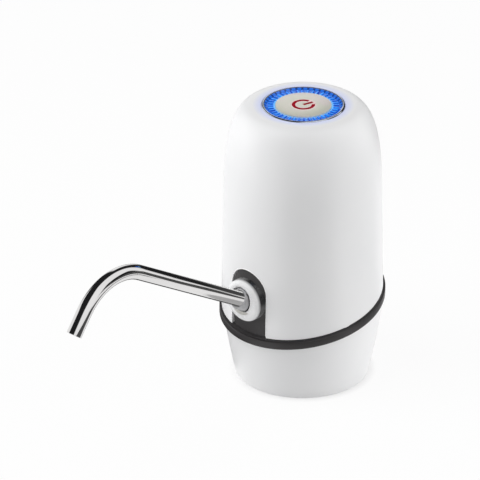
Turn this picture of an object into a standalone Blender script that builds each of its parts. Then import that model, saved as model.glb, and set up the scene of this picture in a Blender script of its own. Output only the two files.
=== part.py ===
"""Rechargeable water dispenser that sits on the neck of a large water bottle.

Metres, +Z up. The origin is the middle of the bounding box on the ground. The spout points
along -Y, and the body's upright axis stands at Y = AXIS_Y. Places inside the body are given as
(x, s, z), where s is the distance from that axis towards the spout.
"""
import math

import bmesh
import bpy
from mathutils import Matrix, Vector

for old in list(bpy.data.objects):
    bpy.data.objects.remove(old, do_unlink=True)

# Shared clearances and cutter sizes
GAP = 0.0003
OVERRUN = 0.0020
MERGE = 0.00001
BODY_SIDES = 52
PART_SIDES = 24
SMALL_SIDES = 12

# Body outline
SHELL_WALL = 0.0022
CROWN_R = 0.0230
CROWN_HANDLE_SHARE = 0.884
DOME_HEIGHT = 0.0461
SHOULDER_INSET = 0.0010
SHOULDER_HANDLE = 0.0211
BELT_DROP = 0.0014
BASE_RIM = 0.0019
BASE_BULGE = 0.0006
BASE_ROUND = 0.0009
BEZEL_PROUD = 0.0004
DOME_STEPS = 10
DOME_INNER_STEPS = 4
BASE_STEPS = 6

# Slanted band between the housings: low at the spout, high at the back
BAND_RISE = 0.0106
BAND_HEIGHT = 0.0045
BAND_PROUD = 0.0010
BAND_EDGE = 0.0005
BAND_SLOPE_SHARE = 0.189
BAND_LIP_HEIGHT = 0.0022
BAND_LIP_WALL = 0.0010

# Spout tube, measured in the plane of the spout
SPOUT_ROOT_OUT = 0.0002
SPOUT_ROOT_DROP = 0.0006
SPOUT_RISE = math.radians(30.1)
SPOUT_FALL = math.radians(53.6)
SPOUT_LEG = 0.1041
SPOUT_BEND_R = 0.0267
SPOUT_TIP = 0.0112
TUBE_R = 0.00355
TUBE_WALL = 0.0005
TUBE_ENGAGED = 0.0085
BEND_STEPS = 11

# Neck socket in the base
SOCKET_BORE_R = 0.0293
SOCKET_WALL = 0.0018
SOCKET_DEPTH = 0.0240
CEILING = 0.0025
POCKET_ROOM = 0.0003
SKIRT_WALL = 0.0020
SEAL = 0.0016
SEAL_RIB = 0.0005
SEAL_RIBS = 3
SEAL_INSET = 0.0012

# Front plate, collar and spout socket
COLLAR_RISE = 0.0106
COLLAR_R = 0.01025
COLLAR_PROUD = 0.0035
COLLAR_SUNK = 0.0038
COLLAR_ROUND = 0.0024
PLATE_EDGE = 0.00045
PLATE_RISE = 0.0147
PLATE_RECESS = 0.0010
PLATE_DEPTH = 0.0045
PLATE_FLANGE_DEPTH = 0.0031
PLATE_FLANGE_EXTRA = 0.0028
PAD_DEPTH = 0.0062
PAD_WALL = 0.0024
SLEEVE_WALL = 0.00125
SLEEVE_OUT = 0.0064
SLEEVE_TAPER = 0.0016
SLEEVE_CHAMFER = 0.0006
SLEEVE_IN = 0.0012
SLEEVE_STOP = 0.0009
RECEIVER_WALL = 0.0015
RECEIVER_NOSE = 0.0009
RECEIVER_END = 0.0023
RECEIVER_MARGIN = 0.0005
RECEIVER_FLANGE = 0.0017
RECEIVER_FLANGE_DROP = 0.0028
RECEIVER_SCREW_INSET = 0.0015
RECEIVER_SCREW_R = 0.0008
RECEIVER_HEAD_R = 0.0014
RECEIVER_HEAD = 0.0010
SEAL_RING_R = 0.00035
SEAL_RING_T = 0.0060
GROOVE_DEPTH = 0.0008
GROOVE_HALF = 0.0007

# Hoses and their barbs
HOSE_WALL = 0.0012
HOSE_BEND_R = 0.0095
BARB_R = 0.0020
BARB_STEP = 0.0003
BARB_BORE_R = 0.0010
BARB_LENGTH = 0.0067
BARB_PITCH = 0.0022
HOSE_STEPS = 8

# Inlet fitting through the ceiling of the neck socket
INLET_REACH = 0.0120
INLET_RISE = 0.0102
INLET_RIDGE_R = 0.0035
INLET_STEP = 0.0005
INLET_BORE_R = 0.0016
INLET_FLANGE_R = 0.0065
INLET_FLANGE = 0.0017
INLET_SHANK_R = 0.0032
INLET_NUT_R = 0.0062
INLET_NUT = 0.0026

# Chassis
CHASSIS_INSET = 0.0040
CHASSIS_PLATE = 0.0020
CELL_CUP_WALL = 0.0011
CELL_CUP_HEIGHT = 0.0090
PUMP_RISE = 0.0245
PUMP_SEAT = 0.0022
PUMP_SEAT_INSET = 0.0036
PUMP_POST_R = 0.0020
PUMP_POST_INSET = 0.0017
PUMP_POST_TURNS = (math.radians(60), math.radians(180), math.radians(300))
CHARGE_POST_R = 0.0018
CASE_SCREW_INSET = 0.0088
CASE_SCREW_TURNS = (math.radians(43), math.radians(180), math.radians(317))
CASE_BOSS_R = 0.0032
CASE_BOSS_HEIGHT = 0.0072
CASE_SCREW_R = 0.0012
CASE_HEAD_R = 0.0025
CASE_HEAD = 0.0014
CASE_SCREW_LENGTH = 0.0100
HOUSING_BOSS_INSET = 0.0072
HOUSING_BOSS_TURNS = (math.radians(55), math.radians(125), math.radians(235), math.radians(305))
HOUSING_BOSS_R = 0.0028
HOUSING_BOSS = 0.0372
HOUSING_RIB = 0.0170
HOUSING_RIB_HALF = 0.0008
HOUSING_SCREW_R = 0.0010
HOUSING_HEAD_R = 0.0021
HOUSING_HEAD = 0.0011
HOUSING_SCREW_LENGTH = 0.0095

# Battery cell beside the pump
CELL_R = 0.0092
CELL_LENGTH = 0.0650
CELL_BESIDE = 0.0005
CELL_ROOM = 0.0035
CELL_CAP_R = 0.0032
CELL_CAP = 0.0008

# Pump, stacked upwards from the chassis seat
PUMP_S = 0.0020
HEAD_R = 0.0132
INLET_PORT_S = 0.0
OUTLET_PORT_OUT = 0.0056
PORT_LENGTH = 0.0050
COVER = 0.0050
CHAMBER_INSET = 0.0048
CHAMBER_DEPTH = 0.0026
VALVE_PLATE = 0.0018
VALVE_SHEET_INSET = 0.0005
VALVE_SHEET = 0.0006
VALVE_STEM_R = 0.0006
VALVE_INSET = 0.0036
VALVE_SLOT_R = 0.0011
DIAPHRAGM = 0.0014
DIAPHRAGM_BOSS_R = 0.0016
DIAPHRAGM_BOSS = 0.0009
DIAPHRAGM_BOSS_INSET = 0.0021
PIVOT_SEAT_R = 0.0013
PIVOT_SEAT = 0.0015
FRAME_WALL = 0.0030
FRAME_HEIGHT = 0.0118
FRAME_WEB = 0.0016
PUMP_SCREW_INSET = 0.0016
PUMP_SCREW_R = 0.0006
PUMP_HEAD_R = 0.0011
PUMP_HEAD = 0.0010
PUMP_SCREW_LENGTH = 0.0120

# Wobble drive
WOBBLE_TILT = math.radians(8)
PIN_R = 0.0008
PIN_LOW = 0.0006
PIN_HIGH = 0.0069
WOBBLE_PLATE_LOW = 0.0016
WOBBLE_PLATE = 0.0010
WOBBLE_ROOM = 0.0016
WOBBLE_BOSS_R = 0.0024
WOBBLE_BOSS_LOW = 0.0008
WOBBLE_BOSS_HIGH = 0.0029
HUB_R = 0.0043
HUB_ROOM = 0.0005
HUB_LOW = 0.0036
HUB_LENGTH = 0.0070
SHAFT_R = 0.0010
SHAFT_ENGAGED = 0.0031

# Motor
CAN_INSET = 0.0010
CAN_WALL = 0.0009
CAN_LENGTH = 0.0270
CAN_NOSE_R = 0.0032
CAN_NOSE = 0.0012
MAGNET = 0.0015
MAGNET_INSET = 0.0040
AIR_GAP = 0.0004
ARMATURE_INSET = 0.0050
COMMUTATOR_R = 0.0026
COMMUTATOR = 0.0040
SLOT_HALF = 0.0007
SLOT_DEPTH = 0.0045
END_CAP = 0.0024
END_CAP_NOSE_R = 0.0035
END_CAP_NOSE = 0.0014
CLAMP_RISE = 0.0109
CLAMP = 0.0030
CLAMP_WALL = 0.0015

# Button
CROWN_RIM = 0.0036
RECESS = 0.0010
RECESS_LEDGE = 0.0018
BEZEL_WALL = 0.00035
BEZEL_ROUND = 0.0004
BUTTON_WELL = 0.0060
RING_WIDTH = 0.00325
RING_RECESS = 0.0005
RING_RIB = 0.0004
RING_RIBS = 40
TRAY = 0.0012
TRAY_LIFT = 0.0006
CAP_PLAY = 0.0004
CAP_TOP_DROP = 0.0003
CAP = 0.0014
CAP_SKIRT = 0.0012
CAP_SKIRT_DROP = 0.0018
CAP_EDGE = 0.0003
BUTTON_TRAVEL = 0.0005
ICON_SHARE = 0.392
ICON_STROKE = 0.0010
ICON_GAP_HALF = math.radians(27)
ICON_BAR_SHARE = 0.98
ICON_TURN = math.radians(14)
ICON_FIT = 0.0002
ICON_DISC_RIM = 0.0019
ICON_DISC = 0.0006
STEM_R = 0.0020
STEM_PLAY = 0.0004
SPRING_INSET = 0.0016
SPRING_WIRE_R = 0.0003
SPRING_TURNS = 2
SPRING_POINTS = 10

# Control board under the button
BOARD_RIM = 0.0020
BOARD = 0.0016
BOARD_SCREW_INSET = 0.0030
BOARD_SCREW_TURNS = (math.radians(90), math.radians(270))
BOARD_SCREW_R = 0.0008
BOARD_HEAD_R = 0.0017
BOARD_HEAD = 0.0012
BOARD_SCREW_LENGTH = 0.0060
BOARD_BOSS_R = 0.0024
SWITCH_SIDE = 0.0060
SWITCH = 0.0030
SWITCH_BORE_R = 0.0020
PLUNGER_R = 0.0017
PLUNGER_LENGTH = 0.0025
PLUNGER_OUT = 0.0010
CHIP_COUNT = 12
CHIP_LENGTH = 0.0028
CHIP_WIDTH = 0.0022
CHIP = 0.0011
STRIP_HALF = 0.0014
STRIP = 0.0006
HEADER_LENGTH = 0.0125
HEADER_WIDTH = 0.0050
HEADER = 0.0050
HEADER_ROOM = 0.0105
HEADER_S = -0.0140

# Charging socket at the back
PORT_RISE = 0.0292
PORT_INSET = 0.0044
PORT_WIDTH = 0.0089
PORT_HEIGHT = 0.0033
PORT_DEPTH = 0.0073
PORT_SHELL = 0.0004
PORT_ROUND = 0.0012
TONGUE_WIDTH = 0.0066
TONGUE = 0.0007
TONGUE_LENGTH = 0.0048
WINDOW_WIDTH = 0.0118
WINDOW_HEIGHT = 0.0068
WINDOW_ROUND = 0.0020
CHARGE_BOARD = 0.0012
CHARGE_BOARD_WIDTH = 0.0176
CHARGE_BOARD_DEPTH = 0.0110
CHARGE_POST_X = 0.0071
CHARGE_POST_INSET = 0.0108
CHARGE_PEG_R = 0.0008
CHARGE_PEG = 0.0020

# Two-core leads from the cell, the charging socket and the motor to the header
LEAD_R = 0.0010
LEAD_SPACING = 0.0040
MOTOR_LEAD_X = -0.0060

# Radii and distances from the axis that follow from the sizes above
CELL_X = HEAD_R + CELL_BESIDE + CELL_R
BELT_R = CELL_X + CELL_R + CELL_ROOM + SHELL_WALL
SHOULDER_R = BELT_R - SHOULDER_INSET
CROWN_HANDLE = CROWN_HANDLE_SHARE * (SHOULDER_R - CROWN_R)
BASE_R = SOCKET_BORE_R + BASE_RIM
SEAL_R = SOCKET_BORE_R - SEAL
BAND_R = BELT_R + BAND_PROUD
BAND_LIP_R = BELT_R - SHELL_WALL - GAP
BAND_DROP = BAND_SLOPE_SHARE * BAND_R + OVERRUN
RECESS_R = CROWN_R - CROWN_RIM
TOP_HOLE_R = RECESS_R - RECESS_LEDGE
BEZEL_R = RECESS_R - GAP
BEZEL_NECK_R = TOP_HOLE_R - GAP
BEZEL_INNER_R = BEZEL_NECK_R - BEZEL_WALL
RING_R = BEZEL_INNER_R - GAP
RING_INNER_R = RING_R - RING_WIDTH
CHIP_CIRCLE = RING_R - RING_WIDTH / 2
CAP_R = RING_INNER_R - CAP_PLAY
SPRING_R = CAP_R - CAP_SKIRT - SPRING_INSET
TRAY_HOLE_R = STEM_R + STEM_PLAY
ICON_R = ICON_SHARE * CAP_R
ICON_BAR = ICON_BAR_SHARE * ICON_R
ICON_DISC_R = ICON_R + ICON_DISC_RIM
PLATE_HALF = COLLAR_R + PLATE_EDGE
PLATE_FACE_R = BELT_R - PLATE_RECESS - GAP
PLATE_BACK_R = BELT_R - PLATE_DEPTH
PLATE_FLANGE_R = BELT_R - PLATE_FLANGE_DEPTH
PAD_S = BELT_R - PAD_DEPTH
COLLAR_FACE_S = BELT_R + COLLAR_PROUD
COLLAR_BACK_S = BELT_R - COLLAR_SUNK
SPOUT_ROOT_S = BELT_R + SPOUT_ROOT_OUT
SLEEVE_BORE_R = TUBE_R + GAP
SLEEVE_R = SLEEVE_BORE_R + SLEEVE_WALL
SLEEVE_END = TUBE_ENGAGED + SLEEVE_IN
RECEIVER_BORE_R = SLEEVE_R + GAP
RECEIVER_R = RECEIVER_BORE_R + RECEIVER_WALL
RECEIVER_BACK = SLEEVE_END + RECEIVER_END
RECEIVER_FLANGE_R = PLATE_HALF - RECEIVER_MARGIN
RECEIVER_SCREW_X = RECEIVER_FLANGE_R - RECEIVER_SCREW_INSET
HOSE_BORE_R = BARB_R + GAP
HOSE_R = HOSE_BORE_R + HOSE_WALL
BARB_ROOT_R = BARB_R - BARB_STEP
INLET_ROOT_R = INLET_RIDGE_R - INLET_STEP
CHASSIS_R = BELT_R - CHASSIS_INSET
HOUSING_BOSS_CIRCLE = BELT_R - HOUSING_BOSS_INSET
CASE_SCREW_CIRCLE = SOCKET_BORE_R - CASE_SCREW_INSET
PUMP_SEAT_INNER_R = HEAD_R - PUMP_SEAT_INSET
PUMP_POST_CIRCLE = HEAD_R - PUMP_POST_INSET
PUMP_SCREW_CIRCLE = HEAD_R - PUMP_SCREW_INSET
OUTLET_PORT_S = PUMP_S + OUTLET_PORT_OUT
CHAMBER_R = HEAD_R - CHAMBER_INSET
VALVE_SHEET_R = CHAMBER_R - VALVE_SHEET_INSET
VALVE_CIRCLE = CHAMBER_R - VALVE_INSET
FRAME_INNER_R = HEAD_R - FRAME_WALL
FRAME_HOLE_R = HUB_R + HUB_ROOM
WOBBLE_PLATE_R = FRAME_INNER_R - WOBBLE_ROOM
DIAPHRAGM_BOSS_CIRCLE = WOBBLE_PLATE_R - DIAPHRAGM_BOSS_INSET
CAN_R = HEAD_R - CAN_INSET
ARMATURE_R = CAN_R - CAN_WALL - GAP - MAGNET - AIR_GAP
BOARD_R = CROWN_R + BOARD_RIM
BOARD_SCREW_CIRCLE = BOARD_R - BOARD_SCREW_INSET
PORT_FACE_S = BELT_R - PORT_INSET
CHARGE_POST_S = BELT_R - CHARGE_POST_INSET

# Heights that follow, from the ground up to the bezel's top
CEILING_TOP_Z = SOCKET_DEPTH + CEILING
CHASSIS_Z = CEILING_TOP_Z + GAP
CHASSIS_TOP_Z = CHASSIS_Z + CHASSIS_PLATE
BAND_UPPER_Z = CHASSIS_TOP_Z + BAND_RISE
BAND_LOWER_Z = BAND_UPPER_Z - BAND_HEIGHT
BELT_Z = BAND_UPPER_Z - BELT_DROP
POCKET_Z = BELT_Z * (SOCKET_WALL + SKIRT_WALL + POCKET_ROOM - BASE_RIM) / (BELT_R - BASE_R)
COLLAR_Z = BAND_UPPER_Z + COLLAR_RISE
PLATE_TOP_Z = COLLAR_Z + PLATE_RISE
SPOUT_ROOT_Z = COLLAR_Z - SPOUT_ROOT_DROP
RECEIVER_FLANGE_Z = COLLAR_Z - RECEIVER_FLANGE_DROP
INLET_TIP_Z = SOCKET_DEPTH - INLET_REACH
INLET_TOP_Z = CHASSIS_TOP_Z + INLET_RISE
HOUSING_BOSS_TOP_Z = CHASSIS_TOP_Z + HOUSING_BOSS
CELL_Z = CHASSIS_TOP_Z + GAP
CELL_TOP_Z = CELL_Z + CELL_LENGTH
PORT_Z = CHASSIS_TOP_Z + PORT_RISE
CHARGE_BOARD_Z = PORT_Z - PORT_HEIGHT / 2 - GAP - CHARGE_BOARD
PUMP_Z = CHASSIS_TOP_Z + PUMP_RISE
VALVE_PLATE_Z = PUMP_Z + COVER + GAP
DIAPHRAGM_Z = VALVE_PLATE_Z + VALVE_PLATE + GAP
DIAPHRAGM_TOP_Z = DIAPHRAGM_Z + DIAPHRAGM
PIVOT_Z = DIAPHRAGM_TOP_Z + PIVOT_SEAT + GAP - PIN_LOW
FRAME_Z = DIAPHRAGM_TOP_Z + GAP
FRAME_TOP_Z = FRAME_Z + FRAME_HEIGHT + FRAME_WEB
HUB_Z = PIVOT_Z + HUB_LOW
SHAFT_Z = HUB_Z + HUB_LENGTH - SHAFT_ENGAGED
CAN_Z = FRAME_TOP_Z + GAP
CAN_TOP_Z = CAN_Z + CAN_LENGTH
CLAMP_Z = CAN_Z + CLAMP_RISE
END_CAP_Z = CAN_TOP_Z + GAP
END_CAP_TOP_Z = END_CAP_Z + END_CAP
HEADER_Z = END_CAP_TOP_Z + END_CAP_NOSE + HEADER_ROOM
BOARD_Z = HEADER_Z + HEADER + GAP
BOARD_TOP_Z = BOARD_Z + BOARD
STEM_Z = BOARD_TOP_Z + GAP + SWITCH + PLUNGER_OUT + GAP
TRAY_Z = STEM_Z + TRAY_LIFT
TRAY_TOP_Z = TRAY_Z + TRAY
BEZEL_TOP_Z = TRAY_TOP_Z + BUTTON_WELL
CROWN_Z = BEZEL_TOP_Z - BEZEL_PROUD
SHOULDER_Z = CROWN_Z - DOME_HEIGHT
CAP_TOP_Z = BEZEL_TOP_Z - CAP_TOP_DROP
CAP_UNDER_Z = CAP_TOP_Z - CAP

# The spout's reach, and where the body's axis stands so that the bounding box is centred
LEG_TANGENT = SPOUT_BEND_R * math.tan((SPOUT_RISE + SPOUT_FALL) / 2)
TIP_REACH = (SPOUT_ROOT_S + SPOUT_LEG * math.cos(SPOUT_RISE)
             + (LEG_TANGENT + SPOUT_TIP) * math.cos(SPOUT_FALL) + TUBE_R * math.sin(SPOUT_FALL))
AXIS_Y = (TIP_REACH - BAND_R) / 2
SPAN = 2 * (TIP_REACH + BAND_R)

PARTS = bpy.data.collections.new("water_dispenser")
CUTTERS = bpy.data.collections.new("cutters")
for home in (PARTS, CUTTERS):
    bpy.context.scene.collection.children.link(home)


# Placing

def plan(x, s, z):
    """World place of a point x to the side and s in front of the body's axis."""
    return Vector((x, AXIS_Y - s, z))


def upright(x=0.0, s=0.0, z=0.0):
    """Frame whose +Z is upright at the given place."""
    return Matrix.Translation(plan(x, s, z))


def around(circle, turn, x=0.0, s=0.0):
    """Side and forward distances of a point on a circle, turned from straight ahead."""
    return x + circle * math.sin(turn), s + circle * math.cos(turn)


def forward(s, z, x=0.0):
    """Frame whose +Z points level out of the front, with +Y up."""
    turn = Matrix(((1, 0, 0), (0, 0, -1), (0, 1, 0))).to_4x4()
    return Matrix.Translation(plan(x, s, z)) @ turn


def spout_frame(t=0.0):
    """Frame on the spout's rising axis: +Z runs out along the tube."""
    place = plan(0.0, SPOUT_ROOT_S + t * math.cos(SPOUT_RISE), SPOUT_ROOT_Z + t * math.sin(SPOUT_RISE))
    return Matrix.Translation(place) @ Matrix.Rotation(math.pi / 2 - SPOUT_RISE, 4, "X")


def wobble_frame():
    """Frame at the wobble plate's pivot: +Z leans with the oblique pin."""
    return upright(0.0, PUMP_S, PIVOT_Z) @ Matrix.Rotation(WOBBLE_TILT, 4, "X")


def slant(z):
    """Matrix that tilts level things at height z to the band's slope, keeping upright walls."""
    shear = Matrix.Identity(4)
    shear[2][1] = BAND_SLOPE_SHARE
    shear[2][3] = z - BAND_SLOPE_SHARE * AXIS_Y
    return shear


# Making solids

def place_mesh(name, mesh, frame=None, home=PARTS):
    """Object for a mesh, placed by a frame."""
    thing = bpy.data.objects.new(name, mesh)
    home.objects.link(thing)
    if frame is not None:
        thing.matrix_world = frame
    if home is CUTTERS:
        thing.hide_render = True
        thing.display_type = "WIRE"
    return thing


def turned(name, outline, sides=PART_SIDES, frame=None, home=PARTS, closed=True):
    """Solid of revolution about the frame's +Z. The outline runs down its outer side."""
    mesh = bpy.data.meshes.new(name)
    edges = [(i, i + 1) for i in range(len(outline) - 1)]
    if closed:
        edges.append((len(outline) - 1, 0))
    mesh.from_pydata([(r, 0.0, z) for r, z in outline], edges, [])
    thing = place_mesh(name, mesh, frame, home)
    screw = thing.modifiers.new("Turn", "SCREW")
    screw.steps = sides
    screw.render_steps = sides
    screw.use_merge_vertices = True
    screw.merge_threshold = MERGE
    screw.use_smooth_shade = False
    return thing


def rod(name, radius, low, high, sides=SMALL_SIDES, frame=None, home=PARTS):
    """Solid cylinder along the frame's +Z."""
    mesh = bmesh.new()
    bmesh.ops.create_cone(mesh, cap_ends=True, segments=sides, radius1=radius, radius2=radius,
                          depth=high - low, matrix=Matrix.Translation((0.0, 0.0, (high + low) / 2)))
    data = bpy.data.meshes.new(name)
    mesh.to_mesh(data)
    mesh.free()
    return place_mesh(name, data, frame, home)


def ring(name, radius, bore, low, high, sides=PART_SIDES, frame=None, home=PARTS):
    """Plain ring along the frame's +Z."""
    return turned(name, [(radius, high), (radius, low), (bore, low), (bore, high)], sides, frame, home)


def box(name, size, centre, home=PARTS, edge=0.0, round_axis=None):
    """Box of a given size. Edges along round_axis are rounded by edge."""
    bpy.ops.mesh.primitive_cube_add(size=1, location=centre)
    thing = bpy.context.active_object
    thing.name = name
    thing.data.name = name
    for old_home in list(thing.users_collection):
        old_home.objects.unlink(thing)
    home.objects.link(thing)
    thing.data.transform(Matrix.Diagonal((*size, 1.0)))
    if round_axis is not None:
        mesh = bmesh.new()
        mesh.from_mesh(thing.data)
        sides = [e for e in mesh.edges
                 if abs((e.verts[0].co - e.verts[1].co)[round_axis]) > max(size) * MERGE]
        bmesh.ops.bevel(mesh, geom=sides, offset=edge, segments=3, affect="EDGES", profile=0.5)
        mesh.to_mesh(thing.data)
        mesh.free()
    if home is CUTTERS:
        thing.hide_render = True
        thing.display_type = "WIRE"
    return thing


def prism(name, outline, low, high, frame=None, home=PARTS):
    """Flat outline in the frame's X and Y, raised from low to high along its +Z."""
    mesh = bmesh.new()
    corners = [mesh.verts.new((x, y, low)) for x, y in outline]
    face = mesh.faces.new(corners)
    raised = bmesh.ops.extrude_face_region(mesh, geom=[face])
    moved = [item for item in raised["geom"] if isinstance(item, bmesh.types.BMVert)]
    bmesh.ops.translate(mesh, verts=moved, vec=(0.0, 0.0, high - low))
    bmesh.ops.recalc_face_normals(mesh, faces=mesh.faces)
    data = bpy.data.meshes.new(name)
    mesh.to_mesh(data)
    mesh.free()
    return place_mesh(name, data, frame, home)


def shape(target, operation, tool):
    """Cut, join or intersect a target with a tool."""
    change = target.modifiers.new(operation.title(), "BOOLEAN")
    change.operation = operation
    change.object = tool
    change.solver = "EXACT"


def cut(target, tool):
    shape(target, "DIFFERENCE", tool)


def join(target, tool):
    shape(target, "UNION", tool)


def baked(thing, change=None):
    """The same object with its modifiers applied and its mesh put through a world matrix."""
    bpy.context.view_layer.update()
    view = bpy.context.evaluated_depsgraph_get()
    mesh = bpy.data.meshes.new_from_object(thing.evaluated_get(view))
    mesh.transform(thing.matrix_world)
    if change is not None:
        mesh.transform(change)
    name = thing.name
    home = thing.users_collection[0]
    bpy.data.objects.remove(thing, do_unlink=True)
    return place_mesh(name, mesh, None, home)


def pipe(name, points, radius, resolution, filled=True, home=PARTS):
    """Round tube or wire along a list of world points, as a mesh."""
    curve = bpy.data.curves.new(name, "CURVE")
    curve.dimensions = "3D"
    curve.bevel_depth = radius
    curve.bevel_resolution = resolution
    curve.use_fill_caps = filled
    line = curve.splines.new("POLY")
    line.points.add(len(points) - 1)
    for point, place in zip(line.points, points):
        point.co = (*place, 1.0)
    guide = place_mesh(name, curve, None, home)
    bpy.context.view_layer.update()
    view = bpy.context.evaluated_depsgraph_get()
    mesh = bpy.data.meshes.new_from_object(guide.evaluated_get(view))
    bpy.data.objects.remove(guide, do_unlink=True)
    welded = bmesh.new()
    welded.from_mesh(mesh)
    bmesh.ops.remove_doubles(welded, verts=welded.verts, dist=MERGE)
    welded.to_mesh(mesh)
    welded.free()
    return place_mesh(name, mesh, None, home)


def hollow_pipe(name, points, radius, wall, resolution):
    """Open tube with a real bore and flat annular ends."""
    thing = pipe(name, points, radius, resolution, filled=False)
    thicken = thing.modifiers.new("Wall", "SOLIDIFY")
    thicken.thickness = wall
    thicken.offset = -1
    thicken.use_even_offset = True
    return thing


def screw(name, frame, length, radius, head_radius, head, sides=SMALL_SIDES):
    """Pan-head screw: its shank runs up +Z from the top of its head."""
    outline = [(0.0, length), (radius, length), (radius, 0.0), (head_radius, 0.0),
               (head_radius, -head), (0.0, -head)]
    return turned(name, outline, sides, frame, closed=False)


def paint(thing, colour, roughness, metallic=0.0):
    """A material of the piece's own, and smooth round faces with crisp edges."""
    skin = bpy.data.materials.new(thing.name)
    skin.use_nodes = True
    shader = skin.node_tree.nodes["Principled BSDF"]
    shader.inputs["Base Color"].default_value = (*colour, 1.0)
    shader.inputs["Roughness"].default_value = roughness
    shader.inputs["Metallic"].default_value = metallic
    skin.diffuse_color = (*colour, 1.0)
    thing.data.materials.clear()
    thing.data.materials.append(skin)
    return thing


WHITE_SHELL = ((0.86, 0.86, 0.87), 0.32)
BLACK_TRIM = ((0.035, 0.034, 0.036), 0.42)
WHITE_TRIM = ((0.84, 0.84, 0.84), 0.28)
GREY_RUBBER = ((0.33, 0.33, 0.34), 0.60)
CLEAR_RUBBER = ((0.80, 0.80, 0.78), 0.50)
BLACK_RUBBER = ((0.02, 0.02, 0.02), 0.70)
BRIGHT_STEEL = ((0.80, 0.79, 0.77), 0.12, 1.0)
PLAIN_STEEL = ((0.56, 0.56, 0.58), 0.35, 1.0)
BOARD_GREEN = ((0.02, 0.16, 0.07), 0.45)
ENGINEERING_GREY = ((0.45, 0.45, 0.47), 0.45)


# Outlines

def dome_curve(steps):
    """Points of the dome from the edge of the flat crown down to the shoulder."""
    corners = ((CROWN_R, CROWN_Z), (CROWN_R + CROWN_HANDLE, CROWN_Z),
               (SHOULDER_R, SHOULDER_Z + SHOULDER_HANDLE), (SHOULDER_R, SHOULDER_Z))
    points = []
    for i in range(steps + 1):
        t = i / steps
        weights = ((1 - t) ** 3, 3 * t * (1 - t) ** 2, 3 * t * t * (1 - t), t ** 3)
        points.append(tuple(sum(w * c[k] for w, c in zip(weights, corners)) for k in (0, 1)))
    return points


def inset(outline, wall):
    """The outline moved inwards by a wall, square to its own direction."""
    moved = []
    for i, (r, z) in enumerate(outline):
        normals = []
        for a, b in ((i - 1, i), (i, i + 1)):
            if a < 0 or b >= len(outline):
                continue
            dr = outline[b][0] - outline[a][0]
            dz = outline[b][1] - outline[a][1]
            size = math.hypot(dr, dz)
            normals.append((dz / size, -dr / size))
        first, last = normals[0], normals[-1]
        scale = wall / (1 + first[0] * last[0] + first[1] * last[1])
        moved.append((r + scale * (first[0] + last[0]), z + scale * (first[1] + last[1])))
    return moved


def base_curve(steps, low_z):
    """Points of the tapered base from the belt down to low_z."""
    points = []
    for i in range(steps + 1):
        z = BELT_Z + (low_z - BELT_Z) * i / steps
        t = z / BELT_Z
        points.append((BASE_R + (BELT_R - BASE_R) * t + 4 * BASE_BULGE * t * (1 - t), z))
    return points


def arch_outline(half, top_z, low_z, arc_steps=12):
    """Arched outline, round at the top: x to the side, z up."""
    centre_z = top_z - half
    points = [(-half, low_z), (half, low_z)]
    for i in range(arc_steps + 1):
        turn = math.pi * i / arc_steps
        points.append((half * math.cos(turn), centre_z + half * math.sin(turn)))
    return points


def spout_points():
    """Centreline of the spout tube from inside its sleeve to the tip."""
    def on_leg(t):
        return (SPOUT_ROOT_S + t * math.cos(SPOUT_RISE), SPOUT_ROOT_Z + t * math.sin(SPOUT_RISE))

    bend_start = on_leg(SPOUT_LEG - LEG_TANGENT)
    centre = (bend_start[0] + SPOUT_BEND_R * math.sin(SPOUT_RISE),
              bend_start[1] - SPOUT_BEND_R * math.cos(SPOUT_RISE))
    path = [on_leg(-TUBE_ENGAGED), on_leg(0.0), on_leg((SPOUT_LEG - LEG_TANGENT) / 2)]
    for i in range(BEND_STEPS + 1):
        slope = SPOUT_RISE - (SPOUT_RISE + SPOUT_FALL) * i / BEND_STEPS
        path.append((centre[0] - SPOUT_BEND_R * math.sin(slope), centre[1] + SPOUT_BEND_R * math.cos(slope)))
    end = path[-1]
    path.append((end[0] + SPOUT_TIP * math.cos(SPOUT_FALL), end[1] - SPOUT_TIP * math.sin(SPOUT_FALL)))
    return [plan(0.0, s, z) for s, z in path]


def barb(tip, direction, length=BARB_LENGTH, ridge=BARB_R, root=BARB_ROOT_R):
    """Outline of a hose barb from its tip to its root along +Z or -Z: each ridge widens from the tip."""
    points = []
    for i in range(round(length // BARB_PITCH)):
        start = tip - direction * BARB_PITCH * i
        points.append((root, start))
        points.append((ridge, start - direction * BARB_PITCH))
    points.append((root, start - direction * BARB_PITCH))
    return points


# Housings

def slanted_block(name, z, top):
    """Cutter with its lower or upper face on the band's slope at height z."""
    size = (SPAN, SPAN, SPAN)
    offset = SPAN / 2 if top else -SPAN / 2
    block = box(name, size, (0.0, AXIS_Y, offset), CUTTERS)
    return baked(block, slant(z))


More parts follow.
